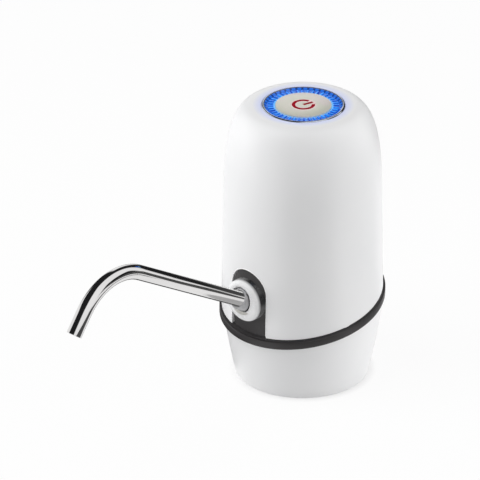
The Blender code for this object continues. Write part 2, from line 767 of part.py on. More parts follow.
def make_upper_housing():
    wall = [(BELT_R, BELT_Z), (BELT_R, BAND_LOWER_Z - BAND_DROP)]
    outer = [(RECESS_R, CROWN_Z)] + dome_curve(DOME_STEPS) + wall
    skin = [(TOP_HOLE_R, CROWN_Z)] + dome_curve(DOME_INNER_STEPS) + wall
    inner = inset(skin, SHELL_WALL)
    inner.reverse()
    ledge = [(TOP_HOLE_R, CROWN_Z - RECESS), (RECESS_R, CROWN_Z - RECESS)]
    shell = turned("upper_housing", outer + inner + ledge, BODY_SIDES, upright())
    cut(shell, slanted_block("below_band", BAND_UPPER_Z + GAP, False))
    reach = SHOULDER_R - SHELL_WALL / 2 - HOUSING_BOSS_CIRCLE
    for i, turn in enumerate(HOUSING_BOSS_TURNS):
        x, s = around(HOUSING_BOSS_CIRCLE, turn)
        boss = rod(f"housing_boss_{i}", HOUSING_BOSS_R, CHASSIS_TOP_Z + GAP, HOUSING_BOSS_TOP_Z,
                   SMALL_SIDES, upright(x, s), CUTTERS)
        rib = box(f"housing_rib_{i}", (2 * HOUSING_RIB_HALF, reach, HOUSING_RIB), (0.0, 0.0, 0.0), CUTTERS)
        middle = around(HOUSING_BOSS_CIRCLE + reach / 2, turn)
        rib.matrix_world = (upright(*middle, HOUSING_BOSS_TOP_Z - GAP - HOUSING_RIB / 2)
                            @ Matrix.Rotation(turn, 4, "Z"))
        hole = rod(f"housing_boss_hole_{i}", HOUSING_SCREW_R + GAP, CHASSIS_Z,
                   CHASSIS_TOP_Z + HOUSING_SCREW_LENGTH, SMALL_SIDES, upright(x, s), CUTTERS)
        join(shell, boss)
        join(shell, rib)
        cut(shell, hole)
    for i, turn in enumerate(BOARD_SCREW_TURNS):
        x, s = around(BOARD_SCREW_CIRCLE, turn)
        boss = rod(f"board_boss_{i}", BOARD_BOSS_R, BOARD_TOP_Z + GAP, CROWN_Z - SHELL_WALL / 2,
                   SMALL_SIDES, upright(x, s), CUTTERS)
        hole = rod(f"board_boss_hole_{i}", BOARD_SCREW_R + GAP, BOARD_Z, BOARD_TOP_Z + BOARD_SCREW_LENGTH,
                   SMALL_SIDES, upright(x, s), CUTTERS)
        join(shell, boss)
        cut(shell, hole)
    arch = arch_outline(PLATE_HALF + GAP, PLATE_TOP_Z + GAP, BAND_LOWER_Z - BAND_DROP)
    cut(shell, prism("front_window", arch, PAD_S, BAND_R + OVERRUN, forward(0.0, 0.0), CUTTERS))
    window = box("charge_window", (WINDOW_WIDTH, 2 * SHELL_WALL + 2 * OVERRUN, WINDOW_HEIGHT),
                 plan(0.0, -(BELT_R - SHELL_WALL / 2), PORT_Z), CUTTERS, WINDOW_ROUND, 1)
    cut(shell, window)
    return paint(shell, *WHITE_SHELL)


def make_trim_band():
    high = BAND_UPPER_Z - BAND_LOWER_Z
    outline = [(BAND_R - BAND_EDGE, high), (BAND_R, high - BAND_EDGE), (BAND_R, BAND_EDGE),
               (BAND_R - BAND_EDGE, 0.0), (BAND_LIP_R - BAND_LIP_WALL, 0.0),
               (BAND_LIP_R - BAND_LIP_WALL, high + BAND_LIP_HEIGHT),
               (BAND_LIP_R, high + BAND_LIP_HEIGHT), (BAND_LIP_R, high)]
    band = baked(turned("trim_band", outline, BODY_SIDES, upright()), slant(BAND_LOWER_Z))
    notch = box("lip_notch", (2 * (PLATE_HALF + PLATE_FLANGE_EXTRA + GAP), BAND_LIP_R, 2 * BAND_LIP_HEIGHT),
                plan(0.0, BAND_LIP_R / 2 + GAP, BAND_LIP_HEIGHT), CUTTERS)
    cut(band, baked(notch, slant(BAND_UPPER_Z)))
    return paint(band, *BLACK_TRIM)


def make_lower_housing():
    top = (BELT_R, BAND_LOWER_Z + BAND_DROP)
    outer = [top] + base_curve(BASE_STEPS, BASE_ROUND)
    rim_r = outer[-1][0] - BASE_ROUND
    bottom = [(rim_r, 0.0), (SOCKET_BORE_R, 0.0)]
    for_hole = INLET_SHANK_R + GAP
    inside = [(SOCKET_BORE_R, SOCKET_DEPTH), (for_hole, SOCKET_DEPTH), (for_hole, CEILING_TOP_Z),
              (SOCKET_BORE_R + SOCKET_WALL, CEILING_TOP_Z), (SOCKET_BORE_R + SOCKET_WALL, POCKET_Z)]
    wall = inset([top] + base_curve(BASE_STEPS // 2, POCKET_Z), SKIRT_WALL)
    wall.reverse()
    wall[0] = (wall[0][0], POCKET_Z)
    skirt = turned("lower_housing", outer + bottom + inside + wall, BODY_SIDES, upright())
    for i, turn in enumerate(CASE_SCREW_TURNS):
        x, s = around(CASE_SCREW_CIRCLE, turn)
        cut(skirt, rod(f"case_hole_{i}", CASE_SCREW_R + GAP, SOCKET_DEPTH - OVERRUN, CEILING_TOP_Z + OVERRUN,
                       SMALL_SIDES, upright(x, s), CUTTERS))
        cut(skirt, rod(f"case_sink_{i}", CASE_HEAD_R + GAP, SOCKET_DEPTH - OVERRUN, SOCKET_DEPTH + CASE_HEAD,
                       SMALL_SIDES, upright(x, s), CUTTERS))
    cut(skirt, slanted_block("above_band", BAND_LOWER_Z - GAP, True))
    return paint(skirt, *WHITE_SHELL)


def make_neck_seal():
    outer_r = SOCKET_BORE_R - GAP
    top_z = SOCKET_DEPTH - GAP
    outline = [(outer_r, top_z), (outer_r, SEAL_INSET)]
    step = (top_z - SEAL_INSET) / (SEAL_RIBS + 1)
    outline.append(((outer_r + SEAL_R) / 2, SEAL_INSET))
    for i in range(SEAL_RIBS):
        z = SEAL_INSET + step * (i + 1)
        outline += [(SEAL_R, z - SEAL_RIB), (SEAL_R - SEAL_RIB, z), (SEAL_R, z + SEAL_RIB)]
    outline.append((SEAL_R, top_z))
    return paint(turned("neck_seal", outline, 40, upright()), *GREY_RUBBER)


# Front plate and spout

def make_front_plate():
    low = BAND_LOWER_Z - BAND_DROP
    tall = PLATE_TOP_Z + OVERRUN
    skin_back_r = (PLATE_BACK_R + PLATE_FLANGE_R) / 2
    skin = ring("front_plate", PLATE_FACE_R, skin_back_r, low, tall, BODY_SIDES, upright())
    arch = arch_outline(PLATE_HALF, PLATE_TOP_Z, low - OVERRUN)
    shape(skin, "INTERSECT", prism("plate_arch", arch, 0.0, BAND_R, forward(0.0, 0.0), CUTTERS))
    flange = ring("plate_flange", PLATE_FLANGE_R, PLATE_BACK_R, low + OVERRUN, tall + PLATE_FLANGE_EXTRA,
                  BODY_SIDES, upright(), CUTTERS)
    wide = arch_outline(PLATE_HALF + PLATE_FLANGE_EXTRA, PLATE_TOP_Z + PLATE_FLANGE_EXTRA, low - OVERRUN)
    shape(flange, "INTERSECT", prism("flange_arch", wide, 0.0, BAND_R, forward(0.0, 0.0), CUTTERS))
    join(skin, flange)
    thick = arch_outline(PLATE_HALF - GAP, PLATE_TOP_Z - GAP, low)
    join(skin, prism("plate_pad", thick, PAD_S, PAD_S + PAD_WALL, forward(0.0, 0.0), CUTTERS))
    cut(skin, slanted_block("below_plate", BAND_UPPER_Z + GAP, False))
    cut(skin, rod("plate_bore", RECEIVER_R + GAP, -RECEIVER_BACK, RECEIVER_BACK, PART_SIDES, spout_frame(),
                  CUTTERS))
    for side in (-1, 1):
        hole = rod(f"plate_screw_hole_{side}", RECEIVER_SCREW_R + GAP, -OVERRUN, PAD_WALL + GAP, SMALL_SIDES,
                   forward(PAD_S, RECEIVER_FLANGE_Z, side * RECEIVER_SCREW_X), CUTTERS)
        cut(skin, hole)
    return paint(skin, *BLACK_TRIM)


def make_spout_collar():
    outline = [(0.0, COLLAR_FACE_S), (COLLAR_R - COLLAR_ROUND, COLLAR_FACE_S)]
    for i in range(1, 6):
        turn = math.pi / 2 * i / 5
        outline.append((COLLAR_R - COLLAR_ROUND * (1 - math.sin(turn)),
                        COLLAR_FACE_S - COLLAR_ROUND * (1 - math.cos(turn))))
    outline += [(COLLAR_R, COLLAR_BACK_S), (0.0, COLLAR_BACK_S)]
    collar = turned("spout_collar", outline, 36, forward(0.0, COLLAR_Z), closed=False)
    cut(collar, rod("collar_back", PLATE_FACE_R + GAP, BAND_LOWER_Z, PLATE_TOP_Z + OVERRUN, BODY_SIDES,
                    upright(), CUTTERS))
    cut(collar, rod("collar_bore", SLEEVE_R + GAP, -RECEIVER_BACK, RECEIVER_BACK + OVERRUN, PART_SIDES,
                    spout_frame(), CUTTERS))
    cut(collar, rod("collar_counterbore", RECEIVER_R + GAP, -RECEIVER_BACK, RECEIVER_NOSE + GAP, PART_SIDES,
                    spout_frame(), CUTTERS))
    return paint(collar, *WHITE_TRIM)


def make_spout_socket():
    end = -RECEIVER_BACK
    outline = [(RECEIVER_R, RECEIVER_NOSE), (RECEIVER_R, end)]
    tail = barb(end - BARB_LENGTH, -1)
    tail.reverse()
    outline += tail
    outline += [(BARB_BORE_R, end - BARB_LENGTH), (BARB_BORE_R, -SLEEVE_END - GAP),
                (RECEIVER_BORE_R, -SLEEVE_END - GAP), (RECEIVER_BORE_R, RECEIVER_NOSE)]
    body = turned("spout_socket", outline, 20, spout_frame())
    flange_s = PAD_S - GAP - RECEIVER_FLANGE
    flange = rod("socket_flange", RECEIVER_FLANGE_R, flange_s, PAD_S - GAP, PART_SIDES,
                 forward(0.0, RECEIVER_FLANGE_Z), CUTTERS)
    cut(flange, rod("socket_flange_bore", (RECEIVER_BORE_R + RECEIVER_R) / 2, end, RECEIVER_BACK, PART_SIDES,
                    spout_frame(), CUTTERS))
    join(body, flange)
    for side in (-1, 1):
        cut(body, rod(f"socket_screw_hole_{side}", RECEIVER_SCREW_R + GAP, flange_s - OVERRUN, PAD_S,
                      SMALL_SIDES, forward(0.0, RECEIVER_FLANGE_Z, side * RECEIVER_SCREW_X), CUTTERS))
    return paint(body, *ENGINEERING_GREY)


def make_socket_screws():
    for side, label in ((-1, "left"), (1, "right")):
        frame = forward(PAD_S - 2 * GAP - RECEIVER_FLANGE, RECEIVER_FLANGE_Z, side * RECEIVER_SCREW_X)
        fastener = screw(f"socket_screw_{label}", frame, RECEIVER_FLANGE + PAD_WALL, RECEIVER_SCREW_R,
                         RECEIVER_HEAD_R, RECEIVER_HEAD, 10)
        paint(fastener, *PLAIN_STEEL)


def make_spout_sleeve():
    groove = SLEEVE_R - GROOVE_DEPTH
    stop = SLEEVE_BORE_R - SLEEVE_STOP
    outline = [(SLEEVE_R - SLEEVE_CHAMFER, SLEEVE_OUT), (SLEEVE_R, SLEEVE_OUT - SLEEVE_TAPER),
               (SLEEVE_R, -SEAL_RING_T + GROOVE_HALF), (groove, -SEAL_RING_T + GROOVE_HALF),
               (groove, -SEAL_RING_T - GROOVE_HALF), (SLEEVE_R, -SEAL_RING_T - GROOVE_HALF),
               (SLEEVE_R, -SLEEVE_END), (stop, -SLEEVE_END), (stop, -TUBE_ENGAGED - GAP),
               (SLEEVE_BORE_R, -TUBE_ENGAGED - GAP), (SLEEVE_BORE_R, SLEEVE_OUT)]
    return paint(turned("spout_sleeve", outline, PART_SIDES, spout_frame()), *GREY_RUBBER)


def make_spout_seal():
    centre = SLEEVE_R - GROOVE_DEPTH + SEAL_RING_R + GAP / 2
    outline = []
    for i in range(8):
        turn = -2 * math.pi * i / 8
        outline.append((centre + SEAL_RING_R * math.cos(turn), -SEAL_RING_T + SEAL_RING_R * math.sin(turn)))
    return paint(turned("spout_seal", outline, 24, spout_frame()), *BLACK_RUBBER)


def make_spout_tube():
    return paint(hollow_pipe("spout_tube", spout_points(), TUBE_R, TUBE_WALL, 6), *BRIGHT_STEEL)


# Water path

def make_inlet_fitting():
    low = SOCKET_DEPTH - GAP
    shoulder_z = CHASSIS_TOP_Z + GAP + INLET_NUT
    upper = barb(INLET_TOP_Z, 1, BARB_LENGTH)
    outline = upper + [(BARB_ROOT_R, shoulder_z), (INLET_SHANK_R, shoulder_z), (INLET_SHANK_R, low),
                       (INLET_FLANGE_R, low), (INLET_FLANGE_R, low - INLET_FLANGE)]
    length = low - INLET_FLANGE - INLET_TIP_Z
    lower = barb(INLET_TIP_Z, -1, length, INLET_RIDGE_R, INLET_ROOT_R)
    lower.reverse()
    outline += [(INLET_ROOT_R, low - INLET_FLANGE)] + lower
    outline += [(INLET_BORE_R, INLET_TIP_Z), (INLET_BORE_R, low), (BARB_BORE_R, low),
                (BARB_BORE_R, INLET_TOP_Z)]
    return paint(turned("inlet_fitting", outline, 16, upright()), *WHITE_TRIM)


def make_inlet_nut():
    low = CHASSIS_TOP_Z + GAP
    outline = [(INLET_NUT_R * math.cos(math.pi * i / 3), INLET_NUT_R * math.sin(math.pi * i / 3))
               for i in range(6)]
    nut = prism("inlet_nut", outline, low, low + INLET_NUT - GAP, upright())
    cut(nut, rod("nut_bore", INLET_SHANK_R + GAP, low - OVERRUN, low + INLET_NUT + OVERRUN, 20, upright(),
                 CUTTERS))
    return paint(nut, *WHITE_TRIM)


def make_inlet_hose():
    low = CHASSIS_TOP_Z + INLET_NUT + 2 * GAP
    hose = ring("inlet_hose", HOSE_R, HOSE_BORE_R, low, PUMP_Z - 2 * GAP, 16, upright())
    return paint(hose, *CLEAR_RUBBER)


def make_outlet_hose():
    """From the pump's outlet port down, round, and up along the spout's axis to its socket."""
    tip_t = -RECEIVER_BACK - BARB_LENGTH
    tail = (SPOUT_ROOT_S + tip_t * math.cos(SPOUT_RISE), SPOUT_ROOT_Z + tip_t * math.sin(SPOUT_RISE))
    start = (OUTLET_PORT_S, PUMP_Z - 2 * GAP)
    swing = math.pi / 2 + SPOUT_RISE
    run_up = (tail[0] - OUTLET_PORT_S - HOSE_BEND_R * (1 + math.sin(SPOUT_RISE))) / math.cos(SPOUT_RISE)
    centre = (OUTLET_PORT_S + HOSE_BEND_R,
              tail[1] - run_up * math.sin(SPOUT_RISE) + HOSE_BEND_R * math.cos(SPOUT_RISE))
    path = [start]
    for i in range(HOSE_STEPS + 1):
        turn = math.pi + swing * i / HOSE_STEPS
        path.append((centre[0] + HOSE_BEND_R * math.cos(turn), centre[1] + HOSE_BEND_R * math.sin(turn)))
    end_t = -RECEIVER_BACK - 2 * GAP
    path.append((SPOUT_ROOT_S + end_t * math.cos(SPOUT_RISE), SPOUT_ROOT_Z + end_t * math.sin(SPOUT_RISE)))
    points = [plan(0.0, s, z) for s, z in path]
    hose = hollow_pipe("outlet_hose", points, HOSE_R, HOSE_R - HOSE_BORE_R, 5)
    return paint(hose, *CLEAR_RUBBER)


# Chassis and its screws

def make_chassis():
    plate = rod("chassis", CHASSIS_R, CHASSIS_Z, CHASSIS_TOP_Z, 40, upright())
    frame_z = PUMP_Z - GAP - PUMP_SEAT
    seat = ring("pump_seat", HEAD_R + GAP, PUMP_SEAT_INNER_R, frame_z, frame_z + PUMP_SEAT, PART_SIDES,
                upright(0.0, PUMP_S), CUTTERS)
    for i, turn in enumerate(PUMP_POST_TURNS):
        x, s = around(PUMP_POST_CIRCLE, turn, 0.0, PUMP_S)
        post = rod(f"pump_post_{i}", PUMP_POST_R, CHASSIS_TOP_Z - CHASSIS_PLATE / 2, frame_z + PUMP_SEAT / 2,
                   SMALL_SIDES, upright(x, s), CUTTERS)
        join(seat, post)
    join(plate, seat)
    cup_r = CELL_R + GAP
    cup = ring("cell_cup", cup_r + CELL_CUP_WALL, cup_r, CHASSIS_TOP_Z - CHASSIS_PLATE / 2,
               CHASSIS_TOP_Z + CELL_CUP_HEIGHT, PART_SIDES, upright(CELL_X, 0.0), CUTTERS)
    join(plate, cup)
    for i, turn in enumerate(CASE_SCREW_TURNS):
        x, s = around(CASE_SCREW_CIRCLE, turn)
        join(plate, rod(f"case_boss_{i}", CASE_BOSS_R, CHASSIS_TOP_Z - CHASSIS_PLATE / 2,
                        CHASSIS_TOP_Z + CASE_BOSS_HEIGHT, SMALL_SIDES, upright(x, s), CUTTERS))
        cut(plate, rod(f"case_thread_{i}", CASE_SCREW_R + GAP, CHASSIS_Z - OVERRUN,
                       SOCKET_DEPTH + CASE_HEAD + CASE_SCREW_LENGTH, SMALL_SIDES, upright(x, s), CUTTERS))
    for i, turn in enumerate(HOUSING_BOSS_TURNS):
        x, s = around(HOUSING_BOSS_CIRCLE, turn)
        cut(plate, rod(f"housing_hole_{i}", HOUSING_SCREW_R + GAP, CHASSIS_Z - OVERRUN,
                       CHASSIS_TOP_Z + OVERRUN, SMALL_SIDES, upright(x, s), CUTTERS))
        cut(plate, rod(f"housing_sink_{i}", HOUSING_HEAD_R + GAP, CHASSIS_Z - OVERRUN,
                       CHASSIS_Z + HOUSING_HEAD + GAP, SMALL_SIDES, upright(x, s), CUTTERS))
    for side in (-1, 1):
        place = upright(side * CHARGE_POST_X, -CHARGE_POST_S)
        join(plate, rod(f"charge_post_{side}", CHARGE_POST_R, CHASSIS_TOP_Z - CHASSIS_PLATE / 2,
                        CHARGE_BOARD_Z - GAP, SMALL_SIDES, place, CUTTERS))
        join(plate, rod(f"charge_peg_{side}", CHARGE_PEG_R, CHARGE_BOARD_Z - CHARGE_BOARD,
                        CHARGE_BOARD_Z + CHARGE_PEG, SMALL_SIDES, place, CUTTERS))
    cut(plate, rod("chassis_bore", INLET_SHANK_R + GAP, CHASSIS_Z - OVERRUN, CHASSIS_TOP_Z + OVERRUN, 20,
                   upright(), CUTTERS))
    return paint(plate, *ENGINEERING_GREY)


def make_case_screws():
    for i, turn in enumerate(CASE_SCREW_TURNS):
        x, s = around(CASE_SCREW_CIRCLE, turn)
        fastener = screw(f"case_screw_{i + 1}", upright(x, s, SOCKET_DEPTH + CASE_HEAD - GAP),
                         CASE_SCREW_LENGTH, CASE_SCREW_R, CASE_HEAD_R, CASE_HEAD, 12)
        paint(fastener, *PLAIN_STEEL)


def make_housing_screws():
    for i, turn in enumerate(HOUSING_BOSS_TURNS):
        x, s = around(HOUSING_BOSS_CIRCLE, turn)
        fastener = screw(f"housing_screw_{i + 1}", upright(x, s, CHASSIS_Z + HOUSING_HEAD),
                         HOUSING_SCREW_LENGTH, HOUSING_SCREW_R, HOUSING_HEAD_R, HOUSING_HEAD, 10)
        paint(fastener, *PLAIN_STEEL)


# Battery

def make_battery_cell():
    bead = CELL_CAP
    outline = [(0.0, CELL_TOP_Z), (CELL_CAP_R, CELL_TOP_Z), (CELL_CAP_R, CELL_TOP_Z - bead),
               (CELL_R - bead, CELL_TOP_Z - bead), (CELL_R, CELL_TOP_Z - 2 * bead), (CELL_R, CELL_Z),
               (0.0, CELL_Z)]
    cell = turned("battery_cell", outline, PART_SIDES, upright(CELL_X, 0.0), closed=False)
    return paint(cell, (0.05, 0.22, 0.50), 0.35)


def make_cell_clamp():
    """Plate that ties the cell to the motor at half height."""
    plate = rod("cell_clamp", CAN_R + GAP + CLAMP_WALL, CLAMP_Z, CLAMP_Z + CLAMP, PART_SIDES,
                upright(0.0, PUMP_S))
    other = rod("clamp_cell_side", CELL_R + GAP + CLAMP_WALL, CLAMP_Z, CLAMP_Z + CLAMP, PART_SIDES,
                upright(CELL_X, 0.0), CUTTERS)
    join(plate, other)
    cut(plate, rod("clamp_motor_bore", CAN_R + GAP, CLAMP_Z - OVERRUN, CLAMP_Z + CLAMP + OVERRUN, PART_SIDES,
                   upright(0.0, PUMP_S), CUTTERS))
    cut(plate, rod("clamp_cell_bore", CELL_R + GAP, CLAMP_Z - OVERRUN, CLAMP_Z + CLAMP + OVERRUN, PART_SIDES,
                   upright(CELL_X, 0.0), CUTTERS))
    return paint(plate, *ENGINEERING_GREY)


# Pump

def pump_screw_places():
    return [around(PUMP_SCREW_CIRCLE, turn, 0.0, PUMP_S) for turn in (math.pi / 2, 3 * math.pi / 2)]


def drill_stack(piece, low, high, sides=8):
    """Holes for the two long screws through one layer of the pump head."""
    for i, (x, s) in enumerate(pump_screw_places()):
        cut(piece, rod(f"{piece.name}_drill_{i}", PUMP_SCREW_R + GAP, low, high, sides, upright(x, s), CUTTERS))


def valve_places():
    return [around(VALVE_CIRCLE, math.pi / 3 + 2 * math.pi / 3 * i, 0.0, PUMP_S) for i in range(3)]


def make_pump_cover():
    cover = rod("pump_cover", HEAD_R, PUMP_Z, PUMP_Z + COVER, PART_SIDES, upright(0.0, PUMP_S))
    chamber_z = PUMP_Z + COVER - CHAMBER_DEPTH
    for label, port_s in (("inlet", INLET_PORT_S), ("outlet", OUTLET_PORT_S)):
        join(cover, rod(f"{label}_port", BARB_R, PUMP_Z - PORT_LENGTH, PUMP_Z + CHAMBER_DEPTH / 2, SMALL_SIDES,
                        upright(0.0, port_s), CUTTERS))
    cut(cover, rod("chamber", CHAMBER_R, chamber_z, PUMP_Z + COVER + OVERRUN, PART_SIDES,
                   upright(0.0, PUMP_S), CUTTERS))
    for label, port_s in (("inlet", INLET_PORT_S), ("outlet", OUTLET_PORT_S)):
        cut(cover, rod(f"{label}_bore", BARB_BORE_R, PUMP_Z - PORT_LENGTH - OVERRUN, chamber_z + GAP, 10,
                       upright(0.0, port_s), CUTTERS))
    drill_stack(cover, PUMP_Z - OVERRUN, PUMP_Z + COVER + OVERRUN)
    for i, (x, s) in enumerate(pump_screw_places()):
        cut(cover, rod(f"cover_sink_{i}", PUMP_HEAD_R + GAP, PUMP_Z - OVERRUN, PUMP_Z + PUMP_HEAD + 2 * GAP, 10,
                       upright(x, s), CUTTERS))
    return paint(cover, *ENGINEERING_GREY)


def make_valve_plate():
    plate = rod("valve_plate", HEAD_R, VALVE_PLATE_Z, VALVE_PLATE_Z + VALVE_PLATE, PART_SIDES,
                upright(0.0, PUMP_S))
    for i, (x, s) in enumerate(valve_places()):
        cut(plate, rod(f"valve_seat_{i}", VALVE_STEM_R + GAP, VALVE_PLATE_Z - OVERRUN,
                       VALVE_PLATE_Z + VALVE_PLATE + OVERRUN, 10, upright(x, s), CUTTERS))
    cut(plate, rod("plate_port", BARB_BORE_R, VALVE_PLATE_Z - OVERRUN, VALVE_PLATE_Z + VALVE_PLATE + OVERRUN,
                   10, upright(0.0, PUMP_S), CUTTERS))
    drill_stack(plate, VALVE_PLATE_Z - OVERRUN, VALVE_PLATE_Z + VALVE_PLATE + OVERRUN)
    return paint(plate, *ENGINEERING_GREY)


def make_valve_sheet():
    """Rubber sheet under the valve plate, held by three stems, with a slot beside each stem."""
    top = VALVE_PLATE_Z - GAP
    sheet = rod("valve_sheet", VALVE_SHEET_R, top - VALVE_SHEET, top, 24, upright(0.0, PUMP_S))
    for i, (x, s) in enumerate(valve_places()):
        join(sheet, rod(f"valve_stem_{i}", VALVE_STEM_R, top - VALVE_SHEET / 2,
                        VALVE_PLATE_Z + VALVE_PLATE - GAP, 10, upright(x, s), CUTTERS))
        x, s = around(VALVE_CIRCLE, 2 * math.pi / 3 * i, 0.0, PUMP_S)
        cut(sheet, rod(f"valve_slot_{i}", VALVE_SLOT_R, top - VALVE_SHEET - OVERRUN, top + OVERRUN, 10,
                       upright(x, s), CUTTERS))
    return paint(sheet, *BLACK_RUBBER)


def make_diaphragm():
    sheet = rod("diaphragm", HEAD_R, DIAPHRAGM_Z, DIAPHRAGM_TOP_Z, PART_SIDES, upright(0.0, PUMP_S))
    for i in range(3):
        x, s = around(DIAPHRAGM_BOSS_CIRCLE, 2 * math.pi / 3 * i, 0.0, PUMP_S)
        join(sheet, rod(f"diaphragm_boss_{i}", DIAPHRAGM_BOSS_R, DIAPHRAGM_Z + DIAPHRAGM / 2,
                        DIAPHRAGM_TOP_Z + DIAPHRAGM_BOSS, 12, upright(x, s), CUTTERS))
    join(sheet, rod("pivot_seat", PIVOT_SEAT_R, DIAPHRAGM_Z + DIAPHRAGM / 2, DIAPHRAGM_TOP_Z + PIVOT_SEAT, 12,
                    upright(0.0, PUMP_S), CUTTERS))
    drill_stack(sheet, DIAPHRAGM_Z - OVERRUN, DIAPHRAGM_TOP_Z + OVERRUN)
    return paint(sheet, *BLACK_RUBBER)


def make_pump_body():
    outline = [(HEAD_R, FRAME_TOP_Z), (HEAD_R, FRAME_Z), (FRAME_INNER_R, FRAME_Z),
               (FRAME_INNER_R, FRAME_TOP_Z - FRAME_WEB), (FRAME_HOLE_R, FRAME_TOP_Z - FRAME_WEB),
               (FRAME_HOLE_R, FRAME_TOP_Z)]
    body = turned("pump_body", outline, PART_SIDES, upright(0.0, PUMP_S))
    drill_stack(body, FRAME_Z - OVERRUN, PUMP_Z + PUMP_HEAD + PUMP_SCREW_LENGTH + GAP)
    return paint(body, *ENGINEERING_GREY)


def make_pump_screws():
    for label, (x, s) in zip(("right", "left"), pump_screw_places()):
        fastener = screw(f"pump_screw_{label}", upright(x, s, PUMP_Z + PUMP_HEAD + GAP),
                         PUMP_SCREW_LENGTH - GAP, PUMP_SCREW_R, PUMP_HEAD_R, PUMP_HEAD, 10)
        paint(fastener, *PLAIN_STEEL)


def make_wobble_plate():
    low, high = WOBBLE_PLATE_LOW, WOBBLE_PLATE_LOW + WOBBLE_PLATE
    outline = [(WOBBLE_BOSS_R, WOBBLE_BOSS_HIGH), (WOBBLE_BOSS_R, high), (WOBBLE_PLATE_R, high),
               (WOBBLE_PLATE_R, low), (WOBBLE_BOSS_R, low), (WOBBLE_BOSS_R, WOBBLE_BOSS_LOW),
               (PIN_R + GAP, WOBBLE_BOSS_LOW), (PIN_R + GAP, WOBBLE_BOSS_HIGH)]
    return paint(turned("wobble_plate", outline, 24, wobble_frame()), *WHITE_TRIM)


def make_wobble_pin():
    return paint(rod("wobble_pin", PIN_R, PIN_LOW, PIN_HIGH, 10, wobble_frame()), *BRIGHT_STEEL)


def make_eccentric_hub():
    hub = rod("eccentric_hub", HUB_R, HUB_Z, HUB_Z + HUB_LENGTH, 20, upright(0.0, PUMP_S))
    cut(hub, rod("hub_pin_hole", PIN_R + GAP, PIN_LOW, PIN_HIGH + GAP, 10, wobble_frame(), CUTTERS))
    cut(hub, rod("hub_shaft_hole", SHAFT_R + GAP, SHAFT_Z - GAP, HUB_Z + HUB_LENGTH + OVERRUN, 12,
                 upright(0.0, PUMP_S), CUTTERS))
    return paint(hub, *WHITE_TRIM)


# Motor

def make_motor_can():
    nose_z = CAN_Z - CAN_NOSE
    inner = CAN_R - CAN_WALL
    outline = [(CAN_R, CAN_TOP_Z), (CAN_R, CAN_Z), (CAN_NOSE_R, CAN_Z), (CAN_NOSE_R, nose_z),
               (SHAFT_R + GAP, nose_z), (SHAFT_R + GAP, CAN_Z + CAN_WALL), (inner, CAN_Z + CAN_WALL),
               (inner, CAN_TOP_Z)]
    return paint(turned("motor_can", outline, PART_SIDES, upright(0.0, PUMP_S)), *PLAIN_STEEL)


def make_motor_magnet():
    outer = CAN_R - CAN_WALL - GAP
    magnet = ring("motor_magnet", outer, outer - MAGNET, CAN_Z + MAGNET_INSET, CAN_TOP_Z - MAGNET_INSET,
                  PART_SIDES, upright(0.0, PUMP_S))
    return paint(magnet, (0.08, 0.08, 0.09), 0.6)


def make_motor_armature():
    low = CAN_Z + ARMATURE_INSET
    high = CAN_TOP_Z - ARMATURE_INSET - COMMUTATOR
    bore = SHAFT_R + GAP
    outline = [(COMMUTATOR_R, high + COMMUTATOR), (COMMUTATOR_R, high), (ARMATURE_R, high), (ARMATURE_R, low),
               (bore, low), (bore, high + COMMUTATOR)]
    core = turned("motor_armature", outline, 24, upright(0.0, PUMP_S))
    for i in range(3):
        slot = box(f"armature_slot_{i}", (2 * SLOT_HALF, SLOT_DEPTH, high - low + OVERRUN), (0.0, 0.0, 0.0),
                   CUTTERS)
        turn = 2 * math.pi / 3 * i
        x, s = around(ARMATURE_R - SLOT_DEPTH / 2 + GAP, turn, 0.0, PUMP_S)
        slot.matrix_world = upright(x, s, (low + high) / 2) @ Matrix.Rotation(turn, 4, "Z")
        cut(core, slot)
    return paint(core, (0.45, 0.20, 0.08), 0.4, 1.0)


def make_motor_shaft():
    return paint(rod("motor_shaft", SHAFT_R, SHAFT_Z, END_CAP_TOP_Z, 12, upright(0.0, PUMP_S)),
                 *BRIGHT_STEEL)


def make_motor_end_cap():
    top = END_CAP_TOP_Z
    outline = [(0.0, top + END_CAP_NOSE), (END_CAP_NOSE_R, top + END_CAP_NOSE), (END_CAP_NOSE_R, top),
               (CAN_R, top), (CAN_R, END_CAP_Z), (SHAFT_R + GAP, END_CAP_Z), (SHAFT_R + GAP, top + GAP),
               (0.0, top + GAP)]
    cap = turned("motor_end_cap", outline, PART_SIDES, upright(0.0, PUMP_S), closed=False)
    return paint(cap, *BLACK_TRIM)


# Button

def make_button_bezel():
    seat_z = CROWN_Z - RECESS + GAP
    outline = [(BEZEL_R - BEZEL_ROUND, BEZEL_TOP_Z), (BEZEL_R, BEZEL_TOP_Z - BEZEL_ROUND), (BEZEL_R, seat_z),
               (BEZEL_NECK_R, seat_z), (BEZEL_NECK_R, TRAY_TOP_Z), (BEZEL_INNER_R, TRAY_TOP_Z),
               (BEZEL_INNER_R, BEZEL_TOP_Z)]
    return paint(turned("button_bezel", outline, 48, upright()), (0.30, 0.32, 0.36), 0.10, 0.6)


